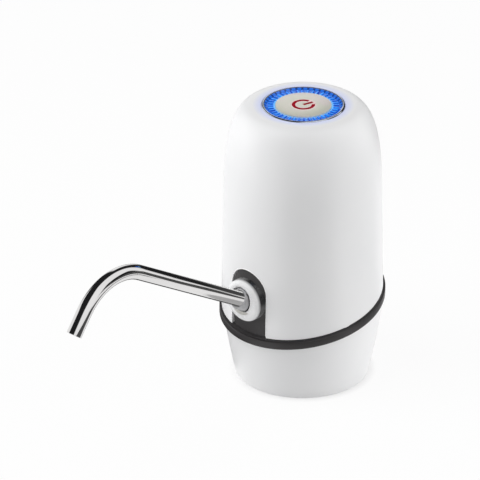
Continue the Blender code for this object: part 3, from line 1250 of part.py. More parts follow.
def make_light_ring():
    """Light guide with raised radial ribs, on a tray that the button's spring stands on."""
    top = BEZEL_TOP_Z - RING_RECESS - RING_RIB
    outline = [(RING_R, top), (RING_R, TRAY_Z), (TRAY_HOLE_R, TRAY_Z), (TRAY_HOLE_R, TRAY_TOP_Z),
               (RING_INNER_R, TRAY_TOP_Z), (RING_INNER_R, top)]
    guide = baked(turned("light_ring", outline, 2 * RING_RIBS, upright()))
    mesh = bmesh.new()
    mesh.from_mesh(guide.data)
    crown = [f for f in mesh.faces if f.normal.z > 0.9 and abs(f.calc_center_median().z - top) < MERGE]
    centre = plan(0.0, 0.0, 0.0)
    crown.sort(key=lambda f: math.atan2(*(f.calc_center_median() - centre).to_2d()))
    raised = bmesh.ops.extrude_face_region(mesh, geom=crown[::2])
    moved = [item for item in raised["geom"] if isinstance(item, bmesh.types.BMVert)]
    bmesh.ops.translate(mesh, verts=moved, vec=(0.0, 0.0, RING_RIB))
    bmesh.ops.delete(mesh, geom=[f for f in crown[::2] if f.is_valid], context="FACES_ONLY")
    mesh.to_mesh(guide.data)
    mesh.free()
    return paint(guide, (0.10, 0.35, 0.95), 0.25)


def icon_strokes(name, low, high, grow, home):
    """Power symbol: an open circle and a bar through its opening, each stroke widened by grow."""
    half = ICON_STROKE / 2 + grow
    middle = ICON_R - ICON_STROKE / 2
    start = math.pi / 2 + ICON_GAP_HALF - grow / middle
    sweep = 2 * math.pi - 2 * ICON_GAP_HALF + 2 * grow / middle
    outline = []
    for radius, steps in ((middle + half, range(21)), (middle - half, range(20, -1, -1))):
        for i in steps:
            turn = start + sweep * i / 20
            outline.append((radius * math.cos(turn), radius * math.sin(turn)))
    frame = upright() @ Matrix.Rotation(-ICON_TURN, 4, "Z")
    circle = prism(f"{name}_circle", outline, low, high, frame, home)
    tip = ICON_BAR + grow
    bar = prism(f"{name}_bar", [(-half, -grow), (half, -grow), (half, tip), (-half, tip)], low, high, frame,
                home)
    return circle, bar


def make_button_cap():
    top = CAP_TOP_Z
    low = CAP_UNDER_Z - CAP_SKIRT_DROP
    outline = [(0.0, top), (CAP_R - CAP_EDGE, top), (CAP_R, top - CAP_EDGE), (CAP_R, low),
               (CAP_R - CAP_SKIRT, low), (CAP_R - CAP_SKIRT, CAP_UNDER_Z), (0.0, CAP_UNDER_Z)]
    cap = turned("button_cap", outline, 40, upright(), closed=False)
    for tool in icon_strokes("slot", CAP_UNDER_Z - OVERRUN, top + OVERRUN, ICON_FIT, CUTTERS):
        cut(cap, tool)
    return paint(cap, (0.62, 0.58, 0.54), 0.32, 1.0)


def make_power_icon():
    """Red light guide: its strokes fill the slots of the cap, its stem works the switch."""
    high = CAP_UNDER_Z - GAP
    outline = [(0.0, high), (ICON_DISC_R, high), (ICON_DISC_R, high - ICON_DISC), (STEM_R, high - ICON_DISC),
               (STEM_R, STEM_Z), (0.0, STEM_Z)]
    guide = turned("power_icon", outline, 24, upright(), closed=False)
    for tool in icon_strokes("stroke", high - ICON_DISC / 2, CAP_TOP_Z, 0.0, CUTTERS):
        join(guide, tool)
    return paint(guide, (0.85, 0.05, 0.10), 0.3)


def make_button_spring():
    low = TRAY_TOP_Z + GAP + SPRING_WIRE_R
    high = CAP_UNDER_Z - GAP - SPRING_WIRE_R
    count = SPRING_TURNS * SPRING_POINTS
    points = []
    for i in range(count + 1):
        turn = 2 * math.pi * i / SPRING_POINTS
        points.append(plan(SPRING_R * math.cos(turn), SPRING_R * math.sin(turn),
                           low + (high - low) * i / count))
    return paint(pipe("button_spring", points, SPRING_WIRE_R, 1), *PLAIN_STEEL)


# Control board

def make_control_board():
    board = rod("control_board", BOARD_R, BOARD_Z, BOARD_TOP_Z, 40, upright())
    for i, turn in enumerate(BOARD_SCREW_TURNS):
        x, s = around(BOARD_SCREW_CIRCLE, turn)
        cut(board, rod(f"board_hole_{i}", BOARD_SCREW_R + GAP, BOARD_Z - OVERRUN, BOARD_TOP_Z + OVERRUN,
                       SMALL_SIDES, upright(x, s), CUTTERS))
    return paint(board, *BOARD_GREEN)


def make_board_screws():
    for label, turn in zip(("right", "left"), BOARD_SCREW_TURNS):
        x, s = around(BOARD_SCREW_CIRCLE, turn)
        fastener = screw(f"board_screw_{label}", upright(x, s, BOARD_Z - GAP), BOARD + BOARD_SCREW_LENGTH,
                         BOARD_SCREW_R, BOARD_HEAD_R, BOARD_HEAD, 10)
        paint(fastener, *PLAIN_STEEL)


def make_light_strip():
    """Ring-shaped strip of light chips under the ribbed light guide."""
    low = BOARD_TOP_Z + GAP
    strip = ring("light_strip", CHIP_CIRCLE + STRIP_HALF, CHIP_CIRCLE - STRIP_HALF, low, low + STRIP, 36,
                 upright())
    for i in range(CHIP_COUNT):
        turn = 2 * math.pi * i / CHIP_COUNT
        x, s = around(CHIP_CIRCLE, turn)
        chip = box(f"chip_{i}", (CHIP_LENGTH, CHIP_WIDTH, CHIP), (0.0, 0.0, 0.0), CUTTERS)
        chip.matrix_world = upright(x, s, low + STRIP / 2 + CHIP / 2) @ Matrix.Rotation(turn, 4, "Z")
        join(strip, chip)
    return paint(strip, (0.90, 0.88, 0.70), 0.4)


def make_switch_body():
    low = BOARD_TOP_Z + GAP
    floor_z = STEM_Z - GAP - PLUNGER_LENGTH - BUTTON_TRAVEL - GAP
    body = box("switch_body", (SWITCH_SIDE, SWITCH_SIDE, SWITCH), plan(0.0, 0.0, low + SWITCH / 2))
    cut(body, rod("switch_bore", SWITCH_BORE_R, floor_z, low + SWITCH + OVERRUN, SMALL_SIDES, upright(),
                  CUTTERS))
    return paint(body, *BLACK_TRIM)


def make_switch_plunger():
    top = STEM_Z - GAP
    plunger = rod("switch_plunger", PLUNGER_R, top - PLUNGER_LENGTH, top, SMALL_SIDES, upright())
    return paint(plunger, *WHITE_TRIM)


def make_lead_header():
    header = box("lead_header", (HEADER_LENGTH, HEADER_WIDTH, HEADER),
                 plan(0.0, HEADER_S, HEADER_Z + HEADER / 2))
    return paint(header, *WHITE_TRIM)


# Charging socket

def make_charge_shell():
    centre = plan(0.0, -(PORT_FACE_S - PORT_DEPTH / 2), PORT_Z)
    shell = box("charge_shell", (PORT_WIDTH, PORT_DEPTH, PORT_HEIGHT), centre, PARTS, PORT_ROUND, 1)
    hollow = (PORT_WIDTH - 2 * PORT_SHELL, PORT_DEPTH, PORT_HEIGHT - 2 * PORT_SHELL)
    mouth = box("charge_mouth", hollow, centre + Vector((0.0, 2 * PORT_SHELL, 0.0)), CUTTERS,
                PORT_ROUND - PORT_SHELL, 1)
    cut(shell, mouth)
    return paint(shell, *BRIGHT_STEEL)


def make_charge_tongue():
    back = PORT_FACE_S - PORT_DEPTH + 2 * PORT_SHELL + GAP
    return paint(box("charge_tongue", (TONGUE_WIDTH, TONGUE_LENGTH, TONGUE),
                     plan(0.0, -(back + TONGUE_LENGTH / 2), PORT_Z)), *BLACK_TRIM)


def make_charge_board():
    centre = plan(0.0, -CHARGE_POST_S, CHARGE_BOARD_Z + CHARGE_BOARD / 2)
    board = box("charge_board", (CHARGE_BOARD_WIDTH, CHARGE_BOARD_DEPTH, CHARGE_BOARD), centre)
    for side in (-1, 1):
        cut(board, rod(f"charge_hole_{side}", CHARGE_PEG_R + GAP, CHARGE_BOARD_Z - OVERRUN,
                       CHARGE_BOARD_Z + CHARGE_BOARD + OVERRUN, 10,
                       upright(side * CHARGE_POST_X, -CHARGE_POST_S), CUTTERS))
    return paint(board, *BOARD_GREEN)


# Leads

def lead(name, start, end, steps=9):
    """Cable that leaves its start straight up and enters the header from straight below."""
    low = start.z + 2 * LEAD_R
    high = end.z - 2 * LEAD_R
    points = [start]
    for i in range(steps + 1):
        t = i / steps
        ease = t * t * (3 - 2 * t)
        points.append(Vector((start.x + (end.x - start.x) * ease, start.y + (end.y - start.y) * ease,
                              low + (high - low) * t)))
    points.append(end)
    return pipe(name, points, LEAD_R, 1)


def make_leads():
    under = HEADER_Z - GAP
    cell = lead("battery_lead", plan(CELL_X, 0.0, CELL_TOP_Z + GAP), plan(LEAD_SPACING, HEADER_S, under))
    paint(cell, (0.70, 0.03, 0.03), 0.5)
    motor = lead("motor_lead", plan(MOTOR_LEAD_X, PUMP_S, END_CAP_TOP_Z + GAP),
                 plan(-LEAD_SPACING, HEADER_S, under))
    paint(motor, (0.02, 0.02, 0.02), 0.5)
    inner_s = CHARGE_POST_S - CHARGE_BOARD_DEPTH / 2 + LEAD_R + GAP
    charge = lead("charge_lead", plan(0.0, -inner_s, CHARGE_BOARD_Z + CHARGE_BOARD + GAP),
                  plan(0.0, HEADER_S, under))
    paint(charge, (0.85, 0.85, 0.86), 0.5)


# Carrying the moving pieces

def carrier(name, frame, pieces, parent=None):
    """Empty on a joint's axis that carries the pieces which move with it."""
    mover = bpy.data.objects.new(name, None)
    PARTS.objects.link(mover)
    mover.matrix_world = frame
    mover.empty_display_size = TUBE_R
    bpy.context.view_layer.update()
    for piece in pieces + ([parent] if parent else []):
        place = piece.matrix_world.copy()
        piece.parent = mover
        piece.matrix_parent_inverse = mover.matrix_world.inverted()
        piece.matrix_world = place
    bpy.context.view_layer.update()
    return mover


def build():
    make_upper_housing()
    make_trim_band()
    make_lower_housing()
    make_neck_seal()
    make_front_plate()
    make_spout_collar()
    make_spout_socket()
    make_socket_screws()
    sleeve = [make_spout_sleeve(), make_spout_seal()]
    tube = [make_spout_tube()]
    make_inlet_fitting()
    make_inlet_nut()
    make_inlet_hose()
    make_outlet_hose()
    make_chassis()
    make_case_screws()
    make_housing_screws()
    make_battery_cell()
    make_cell_clamp()
    make_pump_cover()
    make_valve_plate()
    make_valve_sheet()
    make_diaphragm()
    make_pump_body()
    make_pump_screws()
    wobble = [make_wobble_plate()]
    rotor = [make_wobble_pin(), make_eccentric_hub(), make_motor_armature(), make_motor_shaft()]
    make_motor_can()
    make_motor_magnet()
    make_motor_end_cap()
    make_button_bezel()
    make_light_ring()
    cap = [make_button_cap(), make_power_icon()]
    make_button_spring()
    make_control_board()
    make_board_screws()
    make_light_strip()
    make_switch_body()
    plunger = [make_switch_plunger()]
    make_lead_header()
    make_charge_shell()
    make_charge_tongue()
    make_charge_board()
    make_leads()
    pull = carrier("spout_pull", spout_frame(), tube)
    carrier("spout_swivel", spout_frame(), sleeve, pull)
    turn = carrier("wobble_turn", wobble_frame(), wobble)
    carrier("motor_spin", upright(0.0, PUMP_S, SHAFT_Z), rotor, turn)
    carrier("button_press", upright(0.0, 0.0, CAP_TOP_Z), cap)
    carrier("plunger_press", upright(0.0, 0.0, STEM_Z), plunger)


build()
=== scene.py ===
# %% [markdown]
# # A water dispenser for a bottle's neck, dressed for its picture
#
# The solid parts already exist and carry the motion. This lesson puts a finished skin on
# them: each outer piece is modelled again with smooth, rounded faces, and every part gets a
# finish made of nodes. Nothing changes its size or place, so each new piece reads its
# measures from the same drawing as the solid it stands for.

# %% Load the frame
import math

import bmesh
import bpy
from mathutils import Matrix, Vector


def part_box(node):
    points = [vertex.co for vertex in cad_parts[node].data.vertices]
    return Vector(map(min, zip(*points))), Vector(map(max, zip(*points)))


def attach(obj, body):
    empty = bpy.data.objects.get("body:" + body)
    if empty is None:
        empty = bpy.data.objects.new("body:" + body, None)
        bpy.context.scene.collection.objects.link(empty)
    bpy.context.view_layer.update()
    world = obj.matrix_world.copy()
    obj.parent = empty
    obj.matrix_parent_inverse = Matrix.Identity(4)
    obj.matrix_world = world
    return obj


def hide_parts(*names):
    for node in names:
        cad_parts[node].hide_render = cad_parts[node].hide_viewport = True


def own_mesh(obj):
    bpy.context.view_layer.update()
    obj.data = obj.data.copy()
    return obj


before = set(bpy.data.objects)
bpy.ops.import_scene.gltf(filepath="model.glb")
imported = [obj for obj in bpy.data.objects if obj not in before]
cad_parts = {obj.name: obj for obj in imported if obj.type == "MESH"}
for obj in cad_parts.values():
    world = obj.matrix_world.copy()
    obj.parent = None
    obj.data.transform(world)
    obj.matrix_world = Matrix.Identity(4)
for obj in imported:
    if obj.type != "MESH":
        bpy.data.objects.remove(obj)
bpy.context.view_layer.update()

# %% [markdown]
# ## Where things are
#
# The dispenser is nearly all round pieces on one upright axis, so a place is easiest to
# say as a side step x, a distance s from the axis towards the spout, and a height z. The
# axis itself is read from the button's rim, which stands round it. All lengths are metres,
# written with a factor for millimetres so that they read like the drawing.

# %% The upright axis and its places
MM = 0.001
rim_low, rim_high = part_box("button_bezel")
AXIS_Y = (rim_low[1] + rim_high[1]) / 2
TURN = 2 * math.pi


def at(x, s, z):
    """World place of a point x to the side, s in front of the upright axis and z high."""
    return Vector((x, AXIS_Y - s, z))


def upright(z=0.0, turn=0.0):
    """Frame on the upright axis, turned about it by an angle in degrees."""
    return Matrix.Translation(at(0.0, 0.0, z)) @ Matrix.Rotation(math.radians(turn), 4, "Z")


def facing(s=0.0, z=0.0, rise=0.0):
    """Frame in front of the axis whose +Z points forward, raised by an angle."""
    return Matrix.Translation(at(0.0, s, z)) @ Matrix.Rotation(math.pi / 2 - rise, 4, "X")


pivot = at(0.0, 0.0, 0.0)
UPRIGHT = upright()
print("the axis stands at y =", round(AXIS_Y / MM, 3), "mm")

# %% [markdown]
# ## Ways of working
#
# Three moves make most pieces here. A turned piece starts as one vertex that is extruded
# from point to point of its outline, and the outline is then spun round an axis, as clay on
# a wheel. A sawn piece is a flat outline that is filled and extruded. A cut takes one solid
# away from another. Each move leaves the piece's object at the origin with its place in the
# mesh, which is what the export and the patterns of the finishes need.

# %% Selecting and closing
DOUBLE = 0.001 * MM


def clear_selection():
    """Back to object mode with nothing selected."""
    if bpy.context.object and bpy.context.object.mode == "EDIT":
        bpy.ops.object.mode_set(mode="OBJECT")
    bpy.ops.object.select_all(action="DESELECT")


def work_on(piece):
    """Makes a piece the only selected object and the active one."""
    clear_selection()
    piece.select_set(True)
    bpy.context.view_layer.objects.active = piece


def edit(piece):
    """Opens a piece in edit mode with nothing in it selected."""
    work_on(piece)
    bpy.ops.object.mode_set(mode="EDIT")
    bpy.ops.mesh.select_all(action="DESELECT")


def choose(kind, test):
    """Selects the vertices, edges or faces of the open piece that pass a test."""
    mesh = bmesh.from_edit_mesh(bpy.context.object.data)
    bpy.ops.mesh.select_mode(type=kind)
    items = {"VERT": mesh.verts, "EDGE": mesh.edges, "FACE": mesh.faces}[kind]
    found = 0
    for item in items:
        if test(item):
            item.select_set(True)
            found += 1
    mesh.select_flush_mode()
    bmesh.update_edit_mesh(bpy.context.object.data)
    return found


def choose_all():
    """Selects everything in the open piece."""
    bpy.ops.mesh.select_all(action="SELECT")


def settle():
    """Points the faces of the open piece outwards and goes back to object mode."""
    choose_all()
    bpy.ops.mesh.normals_make_consistent(inside=False)
    bpy.ops.object.mode_set(mode="OBJECT")


def close_piece(name):
    """Merges doubles, points the faces outwards and puts the piece's place into its mesh."""
    choose_all()
    bpy.ops.mesh.remove_doubles(threshold=DOUBLE)
    settle()
    piece = bpy.context.object
    bpy.ops.object.transform_apply(location=True, rotation=True, scale=True)
    piece.name = name
    piece.data.name = name
    return piece


# %% Drawing, turning and sawing
def draw(points):
    """Draws an open edge path by extruding one vertex from point to point, in edit mode."""
    clear_selection()
    bpy.ops.mesh.primitive_plane_add(size=MM, location=points[0])
    bpy.ops.object.mode_set(mode="EDIT")
    bpy.ops.mesh.select_mode(type="VERT")
    choose_all()
    bpy.ops.mesh.merge(type="CENTER")
    for before, after in zip(points, points[1:]):
        bpy.ops.mesh.extrude_vertices_move(TRANSFORM_OT_translate={"value": after - before})


def turned(name, outline, steps, home=UPRIGHT):
    """Spins an outline of (radius, height) points, in millimetres, round the Z of a frame."""
    draw([home @ Vector((r * MM, 0.0, h * MM)) for r, h in outline])
    choose_all()
    axis = home.to_3x3() @ Vector((0.0, 0.0, 1.0))
    bpy.ops.mesh.spin(steps=steps, angle=TURN, center=home.translation, axis=axis)
    return close_piece(name)


def sawn(name, outline, low, high, home=UPRIGHT):
    """Fills a flat outline of (x, y) points, in millimetres, and extrudes it along the Z of a frame."""
    draw([home @ Vector((x * MM, y * MM, low * MM)) for x, y in outline])
    choose_all()
    bpy.ops.mesh.edge_face_add()
    rise = home.to_3x3() @ Vector((0.0, 0.0, (high - low) * MM))
    bpy.ops.mesh.extrude_region_move(TRANSFORM_OT_translate={"value": rise})
    return close_piece(name)


# %% Cutting, rounding and joining
def modified(piece, kind, **settings):
    """Applies one modifier with its settings to a piece."""
    work_on(piece)
    modifier = piece.modifiers.new(kind.lower(), kind)
    for option, value in settings.items():
        setattr(modifier, option, value)
    bpy.ops.object.modifier_apply(modifier=modifier.name)


def carve(piece, tool, operation="DIFFERENCE"):
    """Cuts one solid with another, and removes the tool."""
    modified(piece, "BOOLEAN", operation=operation, solver="EXACT", object=tool)
    bpy.data.objects.remove(tool, do_unlink=True)


def round_edges(piece, width, segments, angle):
    """Rounds every edge of a piece that is sharper than an angle."""
    modified(piece, "BEVEL", width=width * MM, segments=segments, angle_limit=math.radians(angle))


def merged(name, pieces):
    """Joins several pieces into one."""
    clear_selection()
    for piece in pieces:
        piece.select_set(True)
    bpy.context.view_layer.objects.active = pieces[0]
    bpy.ops.object.join()
    pieces[0].name = name
    return pieces[0]


def copy_of(piece, name, matrix):
    """A copy with its own mesh, moved by a matrix."""
    twin = piece.copy()
    twin.data = piece.data.copy()
    twin.data.transform(matrix)
    twin.name = name
    bpy.context.scene.collection.objects.link(twin)
    return twin


def level_shading(piece):
    """Weighs the normals by area, so that a narrow rounded rim doesn't tilt a tall wall's shading."""
    modified(piece, "WEIGHTED_NORMAL", keep_sharp=True)
    print(piece.name, "shaded by face area")


def dress(piece, material, body, *nodes, smooth=35.0):
    """Shades a piece, gives it its finish and its body, and hides the solids that it stands for."""
    work_on(piece)
    bpy.ops.object.shade_smooth_by_angle(angle=math.radians(smooth))
    piece.data.materials.clear()
    piece.data.materials.append(material)
    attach(piece, body)
    if nodes:
        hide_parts(*nodes)
    size = [round(d / MM, 1) for d in piece.dimensions]
    print(piece.name, "faces", len(piece.data.polygons), "size in mm", size)


def arc(centre, radius, start, end, steps):
    """Points of an arc in a drawing, from one angle in degrees to another."""
    points = []
    for i in range(steps + 1):
        turn = math.radians(start + (end - start) * i / steps)
        points.append((centre[0] + radius * math.cos(turn), centre[1] + radius * math.sin(turn)))
    return points


def oblong(left, right, low, high):
    """Outline of a rectangle in a drawing."""
    return [(left, low), (right, low), (right, high), (left, high)]


# %% [markdown]
# ## Finishes
#
# A finish is a small net of nodes that reads Object coordinates, so that it stays fixed to
# the piece from every side. Moulded plastic is never one flat colour: a broad, faint noise
# makes it a little warmer here and cooler there, and a fine one makes the polish uneven and
# gives the skin the grain of its mould. Each finish starts from the same three noises and
# then adds what is its own.

# %% A finish and its nodes
def new_finish(name, roughness=0.4, metallic=0.0, **sockets):
    """An empty finish whose uniform values sit on the shader's own sockets."""
    material = bpy.data.materials.new(name)
    material.use_nodes = True
    shader = material.node_tree.nodes["Principled BSDF"]
    put(roughness, shader, "Roughness")
    put(metallic, shader, "Metallic")
    for socket, value in sockets.items():
        put(value, shader, socket.replace("_", " "))
    return material, material.node_tree, shader


def opened(material):
    """The net of nodes of a finish, its shader, and the output that gives its colour."""
    shader = material.node_tree.nodes["Principled BSDF"]
    return material.node_tree, shader, shader.inputs["Base Color"].links[0].from_socket


def net(socket):
    """The net of nodes that a socket belongs to."""
    return socket.node.id_data


def put(source, target, socket):
    """Feeds an input of a node with another node's output, or with a plain value."""
    if isinstance(source, bpy.types.NodeSocket):
        target.id_data.links.new(source, target.inputs[socket])
    else:
        target.inputs[socket].default_value = source


def node(tree, kind, values=None, **settings):
    """Adds a shader node, sets its options and feeds its inputs."""
    made = tree.nodes.new("ShaderNode" + kind)
    for option, value in settings.items():
        setattr(made, option, value)
    for socket, value in (values or {}).items():
        put(value, made, socket)
    return made


def place_on(tree, centre=(0.0, 0.0, 0.0), stretch=(1.0, 1.0, 1.0), turn=(0.0, 0.0, 0.0)):
    """Object coordinates measured from a centre in the piece, turned and stretched."""
    where = node(tree, "TexCoord").outputs["Object"]
    moved = node(tree, "VectorMath", {0: where, 1: centre}, operation="SUBTRACT").outputs[0]
    return node(tree, "Mapping", {"Vector": moved, "Scale": stretch, "Rotation": turn}).outputs["Vector"]


# %% Patterns and masks
def noise(vector, scale, detail=3.0):
    """A noise with so many bumps to the metre."""
    return node(net(vector), "TexNoise", {"Vector": vector, "Scale": scale, "Detail": detail}).outputs["Fac"]


def streaks(value, scale, detail):
    """A noise that changes along one value alone."""
    return node(net(value), "TexNoise", {"W": value, "Scale": scale, "Detail": detail},
                noise_dimensions="1D").outputs["Fac"]


def ranged(value, low, high, start=0.3, end=0.7):
    """Maps the middle of a pattern onto a range of values."""
    limits = {"Value": value, "From Min": start, "From Max": end, "To Min": low, "To Max": high}
    return node(net(value), "MapRange", limits).outputs["Result"]


def rising(value, start, end):
    """0 below the start, 1 above the end."""
    return ranged(value, 0.0, 1.0, start, end)


def falling(value, start, end):
    """1 below the start, 0 above the end."""
    return ranged(value, 1.0, 0.0, start, end)


def combined(operation, first, second):
    """A value and a second one, or a number, put together by one operation."""
    return node(net(first), "Math", {0: first, 1: second}, operation=operation).outputs[0]


def both(first, second):
    """1 where two masks are 1."""
    return combined("MULTIPLY", first, second)


def between(value, start, end, soft=0.05):
    """1 where a value lies between two others, with soft ends."""
    return both(rising(value, start - soft, start + soft), falling(value, end - soft, end + soft))


def blended(factor, first, second):
    """Mixes two colours, or the outputs that carry them, by a factor."""
    made = node(net(factor), "Mix", {0: factor}, data_type="RGBA")
    for socket, value in ((6, first), (7, second)):
        put((*value, 1.0) if isinstance(value, tuple) else value, made, socket)
    return made.outputs[2]


def feed(shader, colour, rough, relief, depth):
    """Gives a shader its colour, its roughness and a fine relief so many metres deep."""
    put(colour, shader, "Base Color")
    put(rough, shader, "Roughness")
    bump = node(shader.id_data, "Bump", {"Height": relief, "Strength": 1.0, "Distance": depth})
    put(bump.outputs["Normal"], shader, "Normal")


# %% Places within a piece
def split_up(vector):
    """The three parts of a vector, by letter."""
    return node(net(vector), "SeparateXYZ", {0: vector}).outputs


def length_of(tree, **parts):
    """Length of the vector that has the given parts."""
    flat = node(tree, "CombineXYZ", parts).outputs[0]
    return node(tree, "VectorMath", {0: flat}, operation="LENGTH").outputs["Value"]


def from_axis(where):
    """Distance from the upright axis of a place measured from it."""
    parts = split_up(where)
    return length_of(net(where), X=parts["X"], Y=parts["Y"])


def turn_share(where):
    """Angle of a place round the upright axis, from 0 to 1."""
    return node(net(where), "TexGradient", {"Vector": where}, gradient_type="RADIAL").outputs["Fac"]


def teeth(where, count):
    """A wave with so many even teeth round the upright axis."""
    return combined("PINGPONG", turn_share(where), 0.5 / count)


# %% [markdown]
# ## Moulded plastic
#
# The housings, the band and the plate come out of moulds with a fine spark-eroded grain. A
# pure black or white would hide it, so the colours stay a little inside both ends, and the
# grain is a bump of a few thousandths of a millimetre that breaks up the highlight.

# %% Moulded plastic finishes
def moulded(name, colour, other, rough, fine=2600.0, depth=0.000006):
    """Plastic whose colour drifts between two close tones, with a moulded grain."""
    material, tree, shader = new_finish(name)
    where = place_on(tree)
    drift = ranged(noise(where, 38.0), 0.0, 1.0)
    worn = ranged(noise(where, 420.0, 4.0), rough * 0.88, rough * 1.14)
    feed(shader, blended(drift, colour, other), worn, noise(where, fine, 2.0), depth)
    return material


WHITE = ((0.80, 0.80, 0.805), (0.785, 0.788, 0.795))
white_cover = moulded("white_cover", *WHITE, 0.34)
white_satin = moulded("white_satin", *WHITE, 0.34)
band_dark = moulded("band_dark", (0.030, 0.027, 0.028), (0.023, 0.021, 0.022), 0.40)
plate_dark = moulded("plate_dark", (0.034, 0.031, 0.032), (0.026, 0.024, 0.025), 0.46)
ferrule_grey = moulded("ferrule_grey", (0.44, 0.44, 0.45), (0.38, 0.38, 0.39), 0.38)
seal_grey = moulded("seal_grey", (0.30, 0.30, 0.31), (0.25, 0.25, 0.26), 0.62, fine=900.0, depth=0.00002)
plastics = (white_cover, white_satin, band_dark, plate_dark, ferrule_grey, seal_grey)
print("plastic finishes:", [finish.name for finish in plastics])

# %% [markdown]
# ## Upper housing
#
# The tall white cover is a thin shell with a soft dome. Its outline runs from the recess
# for the button, over the dome on one smooth curve, and down a wall that widens slightly
# towards the band. Turned once, it is a closed solid with a wall of its real thickness. Its
# lower end is sawn on a slope, because the band sits lower at the spout than at the back.

# %% The outline of the cover
WALL = 2.2
SLOPE = 0.189
ROUND_STEPS = 160
HOLE = 17.6
LEDGE = (19.4, 135.6)
CROWN = (23.0, 136.6)
SHOULDER = (36.8, 90.5)
BELT = (37.8, 38.0)


def dome(steps):
    """Points of the dome's curve from the flat crown down to the shoulder."""
    bends = (CROWN, (CROWN[0] + 12.2, CROWN[1]), (SHOULDER[0], SHOULDER[1] + 21.1), SHOULDER)
    points = []
    for i in range(steps + 1):
        t = i / steps
        weights = ((1 - t) ** 3, 3 * t * (1 - t) ** 2, 3 * t * t * (1 - t), t ** 3)
        points.append(tuple(sum(w * b[k] for w, b in zip(weights, bends)) for k in (0, 1)))
    return points


def moved_in(outline, wall):
    """An outline that runs downwards, moved towards the axis by a wall."""
    inner = []
    for i, (r, z) in enumerate(outline):
        ahead = outline[min(i + 1, len(outline) - 1)]
        behind = outline[max(i - 1, 0)]
        dr, dz = ahead[0] - behind[0], ahead[1] - behind[1]
        size = math.hypot(dr, dz)
        inner.append((r + wall * dz / size, z - wall * dr / size))
    return inner


outside = dome(34) + [BELT, (BELT[0], 24.0)]
lining = moved_in([(HOLE, CROWN[1])] + outside, WALL)
lining[0] = (HOLE, CROWN[1] - WALL)
cover_outline = ([(HOLE, LEDGE[1]), LEDGE, (LEDGE[0], 136.45), (19.55, CROWN[1])] + outside
                 + lining[::-1] + [(HOLE, LEDGE[1])])
cover = turned("dome_shell", cover_outline, ROUND_STEPS)
print("cover drawn with", len(cover_outline), "points")

# %% [markdown]
# A bisect cut leaves two open rings, one on the outer and one on the inner wall. Bridging
# them closes the lower rim again, and its outer edge is then bevelled, which gives the thin
# line of light above the band.

# %% Saw the lower end on its slope
COVER_END = 39.7
RIM_WIDTH = 0.35
NEAR = 0.01


def saw_slope(piece, height, keep_above):
    """Cuts a round piece on the band's slope at a height on the axis, and closes the rim."""
    edit(piece)
    choose_all()
    normal = Vector((0.0, -SLOPE, 1.0)).normalized()
    bpy.ops.mesh.bisect(plane_co=at(0.0, 0.0, height * MM), plane_no=normal,
                        clear_inner=keep_above, clear_outer=not keep_above)
    bpy.ops.mesh.select_all(action="DESELECT")
    choose("EDGE", lambda edge: edge.is_boundary)
    bpy.ops.mesh.bridge_edge_loops()
    settle()


def above_slope(point, height):
    """How far a point lies above the band's slope, in millimetres."""
    return (point.z + SLOPE * (AXIS_Y - point.y)) / MM - height


def radius_of(point):
    """Distance of a point from the upright axis, in millimetres."""
    return math.hypot(point.x, point.y - AXIS_Y) / MM


def round_rim(piece, height, beyond):
    """Bevels the rim edge that lies on the slope and further out than a radius."""
    edit(piece)
    found = choose("EDGE", lambda edge: all(abs(above_slope(v.co, height)) < NEAR and radius_of(v.co) > beyond
                                            for v in edge.verts))
    bpy.ops.mesh.bevel(offset=RIM_WIDTH * MM, segments=3, affect="EDGES")
    bpy.ops.object.mode_set(mode="OBJECT")
    return found


saw_slope(cover, COVER_END, True)
print("rim edges rounded:", round_rim(cover, COVER_END, 37.0))

# %% [markdown]
# Two openings go through the wall: the arched one for the spout's plate and a small rounded
# one at the back for the charging socket. Both are sawn outlines pushed through the wall.
# The moulded lip round the arch is a thin round bead, drawn on the wall's own curve. An edge
# path that becomes a curve gets its thickness from the curve's bevel.

# %% The openings
WINDOW_R = 11.0
WINDOW_MID = 54.0
PORT_HOLE = (11.8, 6.8, 2.0)
PORT_HEIGHT = 58.0


def arched(half, top, low):
    """Outline of an opening with a round top, x to the side and z up."""
    return [(-half, low), (half, low)] + arc((0.0, top - half), half, 0.0, 180.0, 48)


def rounded(width, height, corner, steps=8):
    """Outline of a rectangle with round corners, about the origin."""
    points = []
    for sx, sy, start in ((1, -1, -90), (1, 1, 0), (-1, 1, 90), (-1, -1, 180)):
        middle = (sx * (width / 2 - corner), sy * (height / 2 - corner))
        points += arc(middle, corner, start, start + 90, steps)
    return points


backwards = upright(PORT_HEIGHT * MM) @ Matrix.Rotation(-math.pi / 2, 4, "X")
carve(cover, sawn("arch_tool", arched(WINDOW_R, WINDOW_MID + WINDOW_R, 20.0), 30.0, 41.0, facing()))
carve(cover, sawn("charge_tool", rounded(*PORT_HOLE), 30.0, 41.0, backwards))
print("openings cut, the cover now has", len(cover.data.polygons), "faces")

# %% The beads round the openings
def wall_radius(z):
    """Radius of the cover's wall at a height, in millimetres."""
    return BELT[0] - max(z - BELT[1], 0.0) * (BELT[0] - SHOULDER[0]) / (SHOULDER[1] - BELT[1])


def bead(name, points, radius, closed):
    """A thin round bead along world points."""
    draw(points + points[:1] if closed else points)
    choose_all()
    bpy.ops.mesh.remove_doubles(threshold=DOUBLE)
    bpy.ops.object.mode_set(mode="OBJECT")
    bpy.ops.object.convert(target="CURVE")
    line = bpy.context.object
    line.data.bevel_depth = radius * MM
    line.data.bevel_resolution = 3
    line.data.use_fill_caps = not closed
    bpy.ops.object.convert(target="MESH")
    bpy.ops.object.mode_set(mode="EDIT")
    return close_piece(name)


def on_wall(x, z, sink, side=1):
    """A place on the cover's wall, sunk into it by a little, in front or at the back."""
    reach = wall_radius(z) - sink
    return at(x * MM, side * math.sqrt(reach * reach - x * x) * MM, z * MM)


